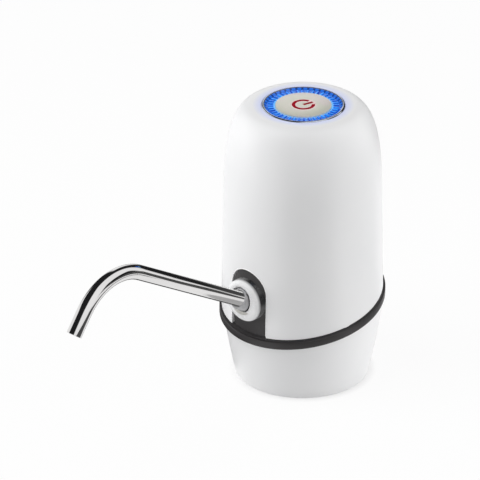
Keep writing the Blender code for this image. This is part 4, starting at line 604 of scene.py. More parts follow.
arch_points = ([(WINDOW_R, 34.0 + i * 2.5) for i in range(8)]
               + arc((0.0, WINDOW_MID), WINDOW_R, 0.0, 180.0, 40)
               + [(-WINDOW_R, 51.5 - i * 2.5) for i in range(8)])
arch_bead = bead("arch_bead", [on_wall(x, z, 0.16) for x, z in arch_points], 0.32, False)
port_line = [on_wall(x, z + PORT_HEIGHT, 0.12, -1) for x, z in rounded(*PORT_HOLE)]
port_bead = bead("port_bead", port_line, 0.25, True)
cover = merged("dome_shell", [cover, arch_bead, port_bead])
dress(cover, white_cover, "base", "upper_housing")
level_shading(cover)

# %% [markdown]
# ## Band
#
# A dark rubber-like belt covers the joint between the two housings. Its outline has a
# shallow step at both edges, where the shadow lines run. It is turned level and then
# leaned to the slope by moving each vertex up or down by its place, because a plane that is
# tilted by turning would make the ring oval.

# %% The leaning band
band = turned("band_ring", [(34.3, 34.9), (38.0, 34.9), (38.0, 35.2), (38.45, 35.25)]
              + arc((38.3, 35.7), 0.5, -70.0, 0.0, 4) + arc((38.3, 38.6), 0.5, 0.0, 70.0, 4)
              + [(38.45, 39.05), (38.0, 39.1), (38.0, 39.4), (35.3, 39.4), (35.3, 41.6), (34.3, 41.6),
                 (34.3, 34.9)], ROUND_STEPS)
lean = Matrix.Identity(4)
lean[2][1] = SLOPE
lean[2][3] = -SLOPE * AXIS_Y
band.data.transform(lean)
notch = sawn("notch_tool", oblong(-13.8, 13.8, -20.0, 40.4), 0.0, 36.0, facing())
above = sawn("above_tool", oblong(-60.0, 60.0, -60.0, 60.0), 39.45, 60.0)
above.data.transform(lean)
carve(notch, above, "INTERSECT")
carve(band, notch)
dress(band, band_dark, "base", "trim_band")

# %% [markdown]
# ## Lower housing
#
# The white foot narrows towards the bottle and swells by 0.6 mm on the way. Its
# underside has a round socket for the bottle's neck, with a ceiling that the water passes
# through. The outline goes down the outside, round the lower edge, up the socket, over the
# ceiling and back up the inside of the wall, and the top is sawn on the band's slope.

# %% The foot
SOCKET = 29.3
CEILING = 24.0
CEILING_TOP = 26.5
WATER_HOLE = 3.5
LEDGE_INSIDE = (31.1, 12.7)
FOOT_R = 31.2
FOOT_WALL = 2.0
FOOT_END = 34.6
SWELL = 0.6
EDGE = 0.9
SCREW_CIRCLE = 20.5
SCREW_TURNS = (43.0, 180.0, 317.0)


def foot_radius(z):
    """Outer radius of the foot at a height, in millimetres."""
    t = z / BELT[1]
    return FOOT_R + (BELT[0] - FOOT_R) * t + 4 * SWELL * t * (1 - t)


foot_wall = [(foot_radius(z), z) for z in [BELT[1] + (EDGE - BELT[1]) * i / 24 for i in range(25)]]
foot_outline = ([(BELT[0], 46.0)] + foot_wall + arc((foot_wall[-1][0] - EDGE, EDGE), EDGE, -10.0, -90.0, 7)
                + [(SOCKET + 0.4, 0.0), (SOCKET, 0.4), (SOCKET, CEILING), (WATER_HOLE, CEILING),
                   (WATER_HOLE, CEILING_TOP), (LEDGE_INSIDE[0], CEILING_TOP), LEDGE_INSIDE]
                + [(foot_radius(z) - FOOT_WALL, z)
                   for z in (LEDGE_INSIDE[1], 16.0, 20.0, 24.0, 28.0, 32.0, 36.0)]
                + [(BELT[0] - FOOT_WALL, 38.0), (BELT[0] - FOOT_WALL, 46.0), (BELT[0], 46.0)])
foot = turned("base_skirt", foot_outline, ROUND_STEPS)
saw_slope(foot, FOOT_END, False)
print("rim edges rounded:", round_rim(foot, FOOT_END, 36.0))
sink = [(0.0, 22.0), (2.8, 22.0), (2.8, 25.4), (1.5, 25.4), (1.5, 28.0), (0.0, 28.0)]
for turn in SCREW_TURNS:
    x, s = SCREW_CIRCLE * math.sin(math.radians(turn)), SCREW_CIRCLE * math.cos(math.radians(turn))
    carve(foot, turned("sink_tool", sink, 24, Matrix.Translation(at(x * MM, s * MM, 0.0))))
dress(foot, white_satin, "base", "lower_housing")
level_shading(foot)

# %% [markdown]
# ## Plate behind the spout
#
# The arched dark plate sits a little below the cover's wall and follows its curve. A curved
# plate is easiest to make flat: the arch is filled and extruded, a lower border is joined to
# it so that a dark groove runs along the window, and its front edge is rounded. It is sawn
# into upright strips so that it can bend, and each vertex is then moved back onto the
# cylinder. Bending last keeps the rounded edge even all the way round.

# %% The curved plate
PLATE_BACK = 33.9
PLATE_FACE = 36.5
STRIP = 1.05
plate = sawn("arch_plate", arched(10.3, 64.3, 28.0), PLATE_BACK, PLATE_FACE, facing())
carve(plate, sawn("border", arched(10.7, 64.7, 28.0), PLATE_BACK, PLATE_FACE - 0.8, facing()), "UNION")
round_edges(plate, 0.25, 3, 60.0)
edit(plate)
for i in range(-9, 10):
    choose_all()
    bpy.ops.mesh.bisect(plane_co=at(i * STRIP * MM, 0.0, 0.0), plane_no=(1.0, 0.0, 0.0))
bpy.ops.object.mode_set(mode="OBJECT")
for vertex in plate.data.vertices:
    reach = (AXIS_Y - vertex.co.y) / MM
    vertex.co.y = AXIS_Y - math.sqrt(reach * reach - (vertex.co.x / MM) ** 2) * MM
saw_slope(plate, COVER_END, True)
print("plate bent, faces:", len(plate.data.polygons))

# %% [markdown]
# ## Collar, ferrule and spout
#
# The spout rises by about thirty degrees as it comes forward, so its bore meets the level
# collar as an ellipse. The collar is turned round a level axis with a fat rounded rim, and
# bored along the spout's own axis. The grey ferrule and the tube are made on that axis too.

# %% The collar
RISE = math.radians(30.1)
FALL = math.radians(53.6)
COLLAR_HEIGHT = 50.0
COLLAR_FACE = 41.3
SPOUT_REACH = 38.0
SPOUT_HEIGHT = 49.4
spout_home = facing(SPOUT_REACH * MM, SPOUT_HEIGHT * MM, RISE)


def spout_bore(radius, low, high):
    """A round cutter along the spout's axis."""
    return turned("bore_tool", oblong(0.0, radius, low, high), 72, spout_home)


carve(plate, spout_bore(7.2, -12.0, 12.0))
dress(plate, plate_dark, "base", "front_plate")

collar_outline = ([(6.6, 34.0), (10.25, 34.0), (10.25, 38.9)] + arc((7.85, 38.9), 2.4, 0.0, 90.0, 12)
                  + [(6.9, COLLAR_FACE)])
collar = turned("collar_ring", collar_outline, 96, facing(z=COLLAR_HEIGHT * MM))
edit(collar)
choose("EDGE", lambda edge: edge.is_boundary)
bpy.ops.mesh.edge_face_add()
settle()
print("collar closed:", len(collar.data.polygons))
carve(collar, turned("back_tool", oblong(0.0, 36.8, 34.0, 66.0), 128))
carve(collar, spout_bore(5.4, -14.0, 12.0))
edit(collar)
mouth = choose("EDGE", lambda edge: all(abs((AXIS_Y - v.co.y) / MM - COLLAR_FACE) < NEAR and
                                        math.hypot(v.co.x / MM, v.co.z / MM - COLLAR_HEIGHT) < 7.4
                                        for v in edge.verts))
bpy.ops.mesh.bevel(offset=RIM_WIDTH * MM, segments=4, affect="EDGES", clamp_overlap=False)
bpy.ops.object.mode_set(mode="OBJECT")
print("collar mouth edges rounded:", mouth)

# %% [markdown]
# The collar is white. Towards its seat on the plate its outer wall is painted dark: painted shade where it
# meets the plate, and a painted reflection of the dark plate.

# %% The collar's finish
collar_finish = moulded("collar_finish", *WHITE, 0.26)
tree, shader, pale = opened(collar_finish)
depth = split_up(place_on(tree, at(0.0, 39.3 * MM, COLLAR_HEIGHT * MM)))["Y"]
# painted shade and painted reflection of the dark plate, darkest on the outer wall next to the plate
painted_plate_shade = rising(depth, -0.9 * MM, 0.7 * MM)
put(blended(painted_plate_shade, pale, (0.03, 0.03, 0.031)), shader, "Base Color")
dress(collar, collar_finish, "base", "spout_collar", smooth=50.0)

# %% The ferrule
ferrule_outline = [(3.85, 5.9), (4.0, 6.3), (4.3, 6.4), (4.45, 6.3), (4.6, 6.0), (5.05, 4.95), (5.1, 4.7),
                   (5.1, -5.3), (4.3, -5.3), (4.3, -6.7), (5.1, -6.7), (5.1, -9.7), (2.95, -9.7),
                   (2.95, -8.8), (3.85, -8.8), (3.85, 5.9)]
ferrule = turned("ferrule", ferrule_outline, 72, spout_home)
dress(ferrule, ferrule_grey, "sleeve", "spout_sleeve")

# %% [markdown]
# The spout is one bright steel tube. A circle stands at its root, square to the spout's axis.
# Extruding the circle makes the straight leg, spinning its last ring round the middle of the
# bend makes the elbow, and one more extrude makes the tip. A solidify modifier then gives the
# tube its thin wall, so that the open tip shows a real edge.

# %% The spout
TUBE = 3.55
ROOT = 8.5
LEG = 104.1
BEND = 26.7
TIP = 11.2
TANGENT = BEND * math.tan((RISE + FALL) / 2)
along = (spout_home.to_3x3() @ Vector((0.0, 0.0, 1.0))).normalized()
tip_way = Vector((0.0, -math.cos(FALL), -math.sin(FALL)))
clear_selection()
bpy.ops.mesh.primitive_circle_add(vertices=64, radius=TUBE * MM, rotation=spout_home.to_euler(),
                                  location=spout_home @ Vector((0, 0, -ROOT * MM)))
bpy.ops.object.mode_set(mode="EDIT")
bpy.ops.mesh.select_mode(type="EDGE")
choose_all()
bpy.ops.mesh.extrude_region_move(TRANSFORM_OT_translate={"value": along * (ROOT + LEG - TANGENT) * MM})
bend_start = spout_home @ Vector((0.0, 0.0, (LEG - TANGENT) * MM))
down = Vector((0.0, along.z, -along.y))
if down.z > 0:
    down = -down
bend_middle = bend_start + down * BEND * MM
bpy.ops.mesh.spin(steps=44, angle=-(RISE + FALL), center=bend_middle, axis=(1.0, 0.0, 0.0))
bpy.ops.mesh.extrude_region_move(TRANSFORM_OT_translate={"value": tip_way * TIP * MM})
spout = close_piece("chrome_spout")
print("spout ends at", [round(min(v.co[i] for v in spout.data.vertices) / MM, 2) for i in range(3)])
modified(spout, "SOLIDIFY", thickness=0.5 * MM, offset=-1.0)
round_edges(spout, 0.12, 2, 60.0)

# %% [markdown]
# Polished steel is almost a mirror, so its look comes from what it reflects. Its own part is
# small: a faint lengthwise draw mark that follows the tube, a little uneven polish, and a
# colour just warmer than white.

# %% Bright metal finishes
def polished(name, colour, other, rough, stretch, depth, **sockets):
    """Bright metal with fine marks that are long in one direction."""
    material, tree, shader = new_finish(name, metallic=1.0, **sockets)
    marks = noise(place_on(tree, stretch=stretch), 900.0, 3.0)
    cloud = ranged(noise(place_on(tree), 90.0), rough * 0.7, rough * 1.3)
    feed(shader, blended(ranged(marks, 0.0, 1.0), colour, other), cloud, marks, depth)
    return material


steel_bright = polished("steel_bright", (0.80, 0.79, 0.785), (0.74, 0.73, 0.73), 0.085, (1.0, 0.04, 0.04),
                        0.000002)
dress(spout, steel_bright, "tube", "spout_tube")

# %% [markdown]
# ## Button
#
# The button has four rings, one inside the other. A thin bright rim finishes the hole in the
# cover. Inside it lies the blue light guide with its raised ribs, and inside that a brushed
# metal cap with a power symbol let into it. The symbol is the generic one, a broken circle
# with a bar through its opening.

# %% The rim
RIBS = 40
rim_outline = [(16.95, 136.2), (17.1, 136.3), (18.1, 136.85), (18.35, 136.98), (18.5, 137.0), (18.85, 136.93),
               (19.05, 136.75), (19.1, 136.5), (19.1, 135.9), (17.3, 135.9), (17.3, 131.0), (16.95, 131.0),
               (16.95, 136.2)]
rim = turned("bezel_ring", rim_outline, 128)
rim_metal = polished("rim_metal", (0.62, 0.66, 0.76), (0.54, 0.58, 0.68), 0.12, (1.0, 1.0, 1.0), 0.000002,
                     Emission_Strength=0.7)
tree, shader, metal = opened(rim_metal)
where = place_on(tree, pivot)
# the rim's inner face is dark blue and glows in forty blue teeth: a painted reflection of the guide's lit
# ribs
inside = falling(from_axis(where), 17.9 * MM, 18.2 * MM)
painted_rib_reflection = blended(rising(teeth(where, RIBS), 0.003, 0.006), (0.0, 0.01, 0.10), (0.02, 0.16, 0.75))
put(blended(inside, (0.0, 0.0, 0.0), painted_rib_reflection), shader, "Emission Color")
put(blended(inside, metal, (0.01, 0.05, 0.22)), shader, "Base Color")
put(ranged(inside, 1.0, 0.1, 0.0, 1.0), shader, "Metallic")
dress(rim, rim_metal, "base", "button_bezel", smooth=50.0)

# %% [markdown]
# The light guide is turned, and one rib is modelled, rounded and copied until forty stand
# round it. The blue glow is drawn with the angle round the axis: a gradient texture turns from 0 to
# 1 once round, and a noise stretched across it makes brighter and darker rays.

# %% The light guide and its ribs
guide_outline = [(13.4, 136.0), (13.5, 136.1), (16.55, 136.1), (16.65, 136.0), (16.65, 129.8), (2.4, 129.8),
                 (2.4, 131.0), (13.4, 131.0), (13.4, 136.0)]
guide = turned("light_guide", guide_outline, ROUND_STEPS)
clear_selection()
bpy.ops.mesh.primitive_cube_add(size=1.0, location=at(0.0, 15.03 * MM, 136.2 * MM))
bpy.ops.object.mode_set(mode="EDIT")
bpy.ops.transform.resize(value=(0.95 * MM, 3.0 * MM, 0.6 * MM))
choose("EDGE", lambda edge: all(v.co.z > 0 for v in edge.verts))
bpy.ops.mesh.bevel(offset=0.18 * MM, segments=3, affect="EDGES")
first_rib = close_piece("light_rib")
from_pivot = Matrix.Translation(pivot)
to_pivot = Matrix.Translation(-pivot)
ribs = [copy_of(first_rib, f"light_rib_{i}", from_pivot @ Matrix.Rotation(TURN * i / RIBS, 4, "Z") @ to_pivot)
        for i in range(1, RIBS)]
guide = merged("light_guide", [guide, first_rib] + ribs)


def lit(name, colour, bright, glow, strength, rays, edge=None):
    """Clear coloured plastic lit from below, with rays round the upright axis and a lit inner edge."""
    material, tree, shader = new_finish(name, 0.22, Emission_Strength=strength)
    where = place_on(tree, pivot)
    tint = blended(rising(streaks(turn_share(where), rays, 2.0), 0.38, 0.62), colour, bright)
    put(tint, shader, "Base Color")
    light = blended(ranged(noise(where, 260.0), 0.0, 1.0), tint, glow)
    if edge:
        raised = rising(split_up(where)["Z"], 136.12 * MM, 136.4 * MM)
        light = blended(raised, (0.0, 0.02, 0.22), light)
        light = blended(falling(from_axis(where), 13.6 * MM, 14.1 * MM), light, edge)
    put(light, shader, "Emission Color")
    return material


blue_light = lit("blue_light", (0.0, 0.05, 0.40), (0.02, 0.26, 0.78), (0.0, 0.10, 0.62), 0.52, 90.0,
                 edge=(0.25, 0.66, 1.0))
dress(guide, blue_light, "base", "light_ring")

# %% The cap and the symbol
cap_outline = [(0.0, 136.7), (12.75, 136.7), (12.93, 136.63), (13.0, 136.45), (13.0, 133.5), (11.8, 133.5),
               (11.8, 135.3), (0.0, 135.3)]
cap = turned("brushed_disc", cap_outline, 128)
STROKE_IN = 3.9
STROKE_OUT = 5.3
CIRCLE_R = 4.6
OPENING = 27.0
symbol_home = upright(turn=-14.0)


def stroke_circle(name, grow, low, high):
    """The symbol's open circle: one square face spun through most of a turn."""
    half = OPENING - math.degrees(grow / CIRCLE_R)
    start = math.radians(90.0 + half)
    out = symbol_home.to_3x3() @ Vector((math.cos(start), math.sin(start), 0.0))
    corners = oblong(STROKE_IN - grow, STROKE_OUT + grow, low, high)
    draw([at(0.0, 0.0, z * MM) + out * r * MM for r, z in corners])
    choose_all()
    bpy.ops.mesh.edge_face_add()
    bpy.ops.mesh.spin(steps=40, angle=2 * math.radians(half) - TURN, center=pivot, axis=(0.0, 0.0, 1.0))
    return close_piece(name)


def stroke_bar(name, grow, low, high):
    """The symbol's bar."""
    wide = 0.7 + grow
    return sawn(name, oblong(-wide, wide, -grow, 5.0 + grow), low, high, symbol_home)


for tool in (stroke_circle("slot_circle", 0.12, 134.0, 138.0), stroke_bar("slot_bar", 0.12, 134.0, 138.0)):
    carve(cap, tool)
symbol = stroke_circle("power_symbol", 0.0, 134.8, 136.68)
bar = stroke_bar("symbol_bar", 0.0, 134.8, 136.68)
carve(symbol, bar, "UNION")
stem_outline = [(0.0, 135.0), (6.996, 135.0), (6.996, 134.4), (2.0, 134.4), (2.0, 129.2), (0.0, 129.2)]
carve(symbol, turned("symbol_stem", stem_outline, 48), "UNION")
print("faces of the cap and the symbol:", len(cap.data.polygons), len(symbol.data.polygons))

# %% [markdown]
# The cap was brushed while it turned, so its marks are fine rings. A noise of the distance
# from the axis alone gives rings, and the same noise is the bump that stretches the
# highlight. Broad tints of green and rose stand for the coloured light that the ring throws
# on it, and a pale glow lies round the lit symbol.

# %% Brushed cap
cap_metal, tree, shader = new_finish("cap_metal", metallic=0.35)
where = place_on(tree, pivot)
out = from_axis(where)
marks = streaks(out, 5200.0, 3.0)
tint = blended(rising(noise(where, 85.0), 0.42, 0.62), (0.72, 0.73, 0.62), (0.78, 0.71, 0.69))
tint = blended(ranged(marks, 0.0, 0.4), tint, (0.56, 0.56, 0.50))
beyond = combined("SUBTRACT", out, CIRCLE_R * MM)
off_circle = node(tree, "Math", {0: beyond}, operation="ABSOLUTE").outputs[0]
halo = ranged(off_circle, 0.8, 0.0, 0.7 * MM, 1.7 * MM)
feed(shader, blended(halo, tint, (1.0, 0.70, 0.72)), ranged(marks, 0.28, 0.42), marks, 0.000004)
dress(cap, cap_metal, "button", "button_cap")
red_light = lit("red_light", (0.20, 0.001, 0.008), (0.28, 0.003, 0.014), (0.24, 0.001, 0.010), 0.25, 12.0)
shader = opened(red_light)[1]
put(0.7, shader, "Roughness")
put(0.1, shader, "Specular IOR Level")
dress(symbol, red_light, "button", "power_icon")

# %% [markdown]
# The ring of light also colours the white cover round it. The cover's finish gets one more layer: a painted
# glow of lavender blue that fades out a few millimetres from the rim. A pale line along the lip round the
# spout's window is a painted highlight, brighter than the wall.

# %% Light on the cover
tree, shader, under = opened(white_cover)
where = place_on(tree, pivot)
fade = ranged(from_axis(where), 0.85, 0.0, 19.2 * MM, 23.5 * MM)
high = both(fade, rising(split_up(where)["Z"], 134.0 * MM, 135.4 * MM))
coloured = blended(high, under, (0.58, 0.64, 0.96))
spot = split_up(place_on(tree, at(0.0, 0.0, WINDOW_MID * MM)))
# the window is round above its middle and straight below it, so height only counts above
reach = length_of(tree, X=spot["X"], Z=rising(spot["Z"], 0.0, 1.0))
# a painted highlight: a pale line along the front of the window's lip
painted_edge_highlight = both(between(reach, 10.5 * MM, 11.2 * MM, 0.00005), falling(spot["Y"], -0.02, -0.018))
put(blended(painted_edge_highlight, coloured, (0.98, 0.98, 0.98)), shader, "Base Color")
print("nodes in the cover's finish:", len(tree.nodes))

# %% [markdown]
# ## Parts seen from below and behind
#
# The socket in the foot is lined with a soft sleeve that grips a bottle's neck. It is moulded
# in one piece, so it is turned from one outline whose ribs have round crests.

# %% Neck sleeve
# what stands against the ceiling ends a little below it
SEAT = 23.7
SLEEVE_R = 29.0
GRIP_R = 27.7
RIB_PITCH = 5.625
sleeve_line = [(SLEEVE_R, SEAT), (SLEEVE_R, 1.9)] + arc((28.5, 1.7), 0.5, 0.0, -90.0, 4)
sleeve_line += arc((28.2, 1.7), 0.5, -90.0, -180.0, 4)
for i in range(3):
    mid = 1.2 + RIB_PITCH * (i + 1)
    sleeve_line += [(GRIP_R, mid - 0.75)] + arc((GRIP_R, mid), 0.5, 250.0, 110.0, 6) + [(GRIP_R, mid + 0.75)]
sleeve_line += [(GRIP_R, SEAT), (SLEEVE_R, SEAT)]
sleeve_piece = turned("neck_sleeve", sleeve_line, 96)
dress(sleeve_piece, seal_grey, "base", "neck_seal", smooth=50.0)

# %% [markdown]
# The water comes in through a barbed fitting in the middle of the socket. Its barbs are cones
# with a flat back, as a hose needs them, for the suction hose below and the inner hose above.
# Its flange has two flats for a key.

# %% Inlet fitting
TIP_BARB_PITCH = 2.3
HOSE_BARB_PITCH = 2.05
barbs = [(1.6, 12.0), (2.8, 12.0)]
for i in range(4):
    start = 12.1 + TIP_BARB_PITCH * i
    barbs += [(3.0, start + 0.2), (3.5, start + 1.6), (3.5, start + 1.8), (3.0, start + 1.95)]
barbs += [(3.0, 21.5), (3.4, 22.0), (6.2, 22.0), (6.5, 22.3), (6.5, 23.4), (6.2, SEAT), (3.2, SEAT),
          (3.2, 31.7), (1.7, 31.7)]
for i in range(3):
    start = 32.6 + HOSE_BARB_PITCH * i
    barbs += [(1.7, start), (2.0, start + 0.15), (1.7, start + 1.9)]
barbs += [(1.5, 39.0), (1.0, 39.0), (1.0, SEAT), (1.6, SEAT), (1.6, 12.0)]
inlet = turned("barbed_inlet", barbs, 64)
for turn in (180.0, 0.0):
    carve(inlet, sawn("flat", oblong(5.6, 8.0, -6.0, 6.0), 21.0, 23.95, upright(turn=turn)))
fitting_white = moulded("fitting_white", (0.72, 0.72, 0.71), (0.66, 0.66, 0.655), 0.36)
dress(inlet, fitting_white, "base", "inlet_fitting")

# %% [markdown]
# Three screws in the socket's ceiling hold the foot. One is turned with a low domed head and
# rings for its thread, a cross is sunk in its head, and all three are copies of it.

# %% Case screws
SCREW_PITCH = 0.8
screw_line = [(0.0, SEAT), (1.4, 23.74), (2.1, 23.9), (2.42, 24.2), (2.5, 24.6), (2.5, 25.1), (1.0, 25.1)]
for i in range(11):
    rise = SCREW_PITCH * i
    screw_line += [(1.0, 25.5 + rise), (1.2, 25.7 + rise), (1.0, 25.9 + rise)]
screw_line += [(1.0, 34.0), (0.15, 35.1), (0.0, 35.1)]
fixing = turned("case_screw", screw_line, 32)
for turn in (0.0, 90.0):
    carve(fixing, sawn("cross", oblong(-1.35, 1.35, -0.28, 0.28), 23.0, 24.45, upright(turn=turn)))
steel_plain = polished("steel_plain", (0.56, 0.57, 0.58), (0.46, 0.47, 0.48), 0.30, (1.0, 1.0, 0.2), 0.000004)
for i, turn in enumerate(SCREW_TURNS):
    away = Vector((math.sin(math.radians(turn)), -math.cos(math.radians(turn)), 0.0)) * SCREW_CIRCLE * MM
    screw = copy_of(fixing, "foot_screw_%d" % (i + 1), Matrix.Translation(away))
    dress(screw, steel_plain, "base", "case_screw_%d" % (i + 1), smooth=30.0)
bpy.data.objects.remove(fixing, do_unlink=True)

# %% [markdown]
# The charging socket is a bent steel shell with a soft rolled mouth. It is sawn from a rounded
# outline, a smaller outline is cut out of it, and its mouth is rounded. Five contacts lie on
# the tongue inside it.

# %% Charging socket
port_home = facing(-33.4 * MM, PORT_HEIGHT * MM)
jacket = sawn("port_jacket", rounded(8.9, 3.3, 1.2, 6), 0.0, 7.3, port_home)
carve(jacket, sawn("port_hollow", rounded(8.1, 2.5, 0.8, 6), -0.5, 6.5, port_home))
round_edges(jacket, 0.12, 3, 40.0)
steel_shell = polished("steel_shell", (0.60, 0.60, 0.62), (0.50, 0.50, 0.52), 0.22, (1.0, 0.2, 1.0), 0.000003)
dress(jacket, steel_shell, "base", "charge_shell")
contacts = [sawn("contact_%d" % i, oblong(-0.16, 0.16, 0.30, 0.39), 1.5, 5.0,
                 port_home @ Matrix.Translation((1.05 * MM * (i - 2), 0.0, 0.0))) for i in range(5)]
contacts = merged("port_contacts", contacts)
gold = polished("gold", (0.83, 0.60, 0.25), (0.72, 0.50, 0.20), 0.25, (1.0, 0.2, 1.0), 0.000002)
dress(contacts, gold, "base")

# %% [markdown]
# The spring under the cap is a coil of round wire with flat end turns. It is drawn as a path with a round
# section. It can't follow the cap as a rigid piece, so it stays with the base and gets a mesh of its own.

# %% Cap spring
COIL_R = 10.2
COIL_TURNS = 2.5
COIL_STEPS = 100
COIL_FOOT = 131.65
COIL_RISE = 3.03
END_SHARE = 0.18
coil = []
for i in range(COIL_STEPS + 1):
    share = i / COIL_STEPS
    rise = min(1.0, max(0.0, (share - END_SHARE) / 0.64))
    turn = COIL_TURNS * TURN * share
    height = (COIL_FOOT + COIL_RISE * rise) * MM
    coil.append(at(COIL_R * MM * math.cos(turn), -COIL_R * MM * math.sin(turn), height))
spring = bead("cap_spring", coil, 0.3, False)
steel_spring = polished("steel_spring", (0.52, 0.53, 0.55), (0.42, 0.43, 0.45), 0.25, (1.0, 1.0, 1.0),
                        0.000002)
dress(spring, steel_spring, "base", "button_spring", smooth=50.0)
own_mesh(spring)

# %% [markdown]
# ## Finishes of the parts inside
#
# The solids inside keep the shapes of the CAD model, which are right for parts that are rarely
# seen. Each gets the finish of its real material: moulded plastics, rubber, silicone hose,
# pressed and turned steel, a ferrite magnet, copper windings, a wrapped cell, printed boards.

# %% Putting a finish on a solid
def finish_nodes(material, *names):
    """Puts a finish in the material slots of CAD nodes that stay as they are."""
    for name in names:
        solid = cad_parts[name]
        for i in range(len(solid.material_slots)):
            solid.material_slots[i].link = "OBJECT"
            solid.material_slots[i].material = material
    print(material.name, "on", *names)


# %% Rubber, windings, wrap and boards
def layered(name, base, other, scale, rough, stretch=(1.0, 1.0, 1.0), metallic=0.0, depth=0.00001):
    """Two clear tones in a stretched noise, for rubber, windings, ferrite and hose."""
    material, tree, shader = new_finish(name, metallic=metallic)
    where = place_on(tree, stretch=stretch)
    tones = noise(where, scale, 4.0)
    worn = ranged(noise(where, scale * 0.3), rough * 0.85, rough * 1.15)
    feed(shader, blended(rising(tones, 0.35, 0.65), base, other), worn, tones, depth)
    return material


def banded(name, base, other, low, high):
    """One tone between two heights and another beyond them."""
    material, tree, shader = new_finish(name)
    where = place_on(tree)
    cloudy = blended(ranged(noise(where, 120.0), 0.0, 1.0), base, tuple(0.9 * c for c in base))
    middle = between(split_up(where)["Z"], low * MM, high * MM, 0.0001)
    worn = noise(where, 700.0)
    rough = 0.35
    feed(shader, blended(middle, other, cloudy), ranged(worn, rough * 0.85, rough * 1.15), worn, 0.000004)
    return material


def board(name):
    """Green solder mask over tracks that run in straight lines, with bright pads."""
    material, tree, shader = new_finish(name)
    where = place_on(tree, turn=(0.0, 0.0, 0.3))
    tracks = node(tree, "TexVoronoi", {"Vector": where, "Scale": 420.0}, distance="MANHATTAN", feature="F1")
    far = tracks.outputs["Distance"]
    green = blended(falling(far, 0.35, 0.45), (0.010, 0.085, 0.035), (0.020, 0.150, 0.060))
    pads = falling(far, 0.08, 0.12)
    feed(shader, blended(pads, green, (0.62, 0.60, 0.55)), ranged(pads, 0.32, 0.22, 0.0, 1.0), far, 0.00002)
    return material


# %% [markdown]
# Moulded plastic is off-white where it meets water, grey in the frame, black round contacts
# and slippery where pieces rub. Rubber, hose, ferrite, winding and steel are layered noises.

# %% Plastics and rubbers inside
natural = moulded("natural_plastic", (0.62, 0.61, 0.57), (0.56, 0.55, 0.51), 0.42)
frame_grey = moulded("frame_grey", (0.16, 0.165, 0.17), (0.13, 0.135, 0.14), 0.48)
black = moulded("black_plastic", (0.020, 0.020, 0.021), (0.014, 0.014, 0.015), 0.42)
slippery = moulded("acetal", (0.70, 0.70, 0.68), (0.64, 0.64, 0.62), 0.30)
finish_nodes(natural, "pump_cover", "valve_plate", "pump_body", "spout_socket", "inlet_nut")
finish_nodes(frame_grey, "chassis", "cell_clamp")
finish_nodes(black, "motor_end_cap", "switch_body", "lead_header", "charge_tongue")
finish_nodes(slippery, "wobble_plate", "eccentric_hub", "switch_plunger")
rubber = layered("rubber_black", (0.030, 0.030, 0.031), (0.045, 0.045, 0.046), 900.0, 0.6)
finish_nodes(rubber, "spout_seal", "diaphragm", "valve_sheet")
silicone = layered("silicone_hose", (0.66, 0.68, 0.69), (0.56, 0.58, 0.60), 160.0, 0.28)
finish_nodes(silicone, "inlet_hose", "outlet_hose")
leads = {"battery_lead": ("lead_red", (0.45, 0.012, 0.012)),
         "motor_lead": ("lead_black", (0.018, 0.018, 0.019)),
         "charge_lead": ("lead_white", (0.68, 0.68, 0.67))}
for lead, (name, colour) in leads.items():
    finish_nodes(moulded(name, colour, tuple(0.85 * c for c in colour), 0.40), lead)

# %% Metals, magnet, cell and boards
finish_nodes(steel_plain, "socket_screw_left", "socket_screw_right", "pump_screw_right", "pump_screw_left",
             "board_screw_right", "board_screw_left", *["housing_screw_%d" % (i + 1) for i in range(4)])
finish_nodes(steel_shell, "wobble_pin", "motor_shaft")
motor_steel = layered("motor_steel", (0.52, 0.53, 0.54), (0.44, 0.45, 0.46), 600.0, 0.28,
                      (1.0, 1.0, 0.1), 1.0)
finish_nodes(motor_steel, "motor_can")
finish_nodes(layered("ferrite", (0.035, 0.034, 0.036), (0.055, 0.053, 0.055), 1200.0, 0.55), "motor_magnet")
copper = layered("copper_winding", (0.60, 0.24, 0.11), (0.30, 0.10, 0.04), 2200.0, 0.30,
                 (1.0, 1.0, 0.15), 0.9, 0.00004)
finish_nodes(copper, "motor_armature")
finish_nodes(banded("cell_wrap", (0.02, 0.12, 0.42), (0.70, 0.70, 0.68), 30.4, 92.8), "battery_cell")
finish_nodes(board("board_green"), "control_board", "charge_board")

# %% [markdown]
# The strip under the light guide carries small blue lamps. Even teeth round the axis leave one
# lit spot at each, and the rest of the strip is pale.

# %% The light strip
lamp_strip, tree, shader = new_finish("lamp_strip", 0.3, Emission_Strength=1.0)
chip = falling(teeth(place_on(tree, pivot), 16), 0.008, 0.012)
put(blended(chip, (0.60, 0.60, 0.58), (0.80, 0.78, 0.50)), shader, "Base Color")
put(blended(chip, (0.0, 0.01, 0.05), (0.1, 0.4, 1.0)), shader, "Emission Color")
finish_nodes(lamp_strip, "light_strip")
bare = [name for name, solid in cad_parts.items()
        if not solid.hide_render and solid.material_slots and solid.material_slots[0].link == "DATA"]
print("CAD nodes still in their own finish and shown:", bare)

# %% [markdown]
# ## Studio
#
# The picture was taken from far away with a long lens, so upright edges stay upright. The
# floor is plain and pale. Seen by the camera, by gloss and through clear things it is mostly
# its own white light, and the rest of it is a matt white that keeps the object's shadow.

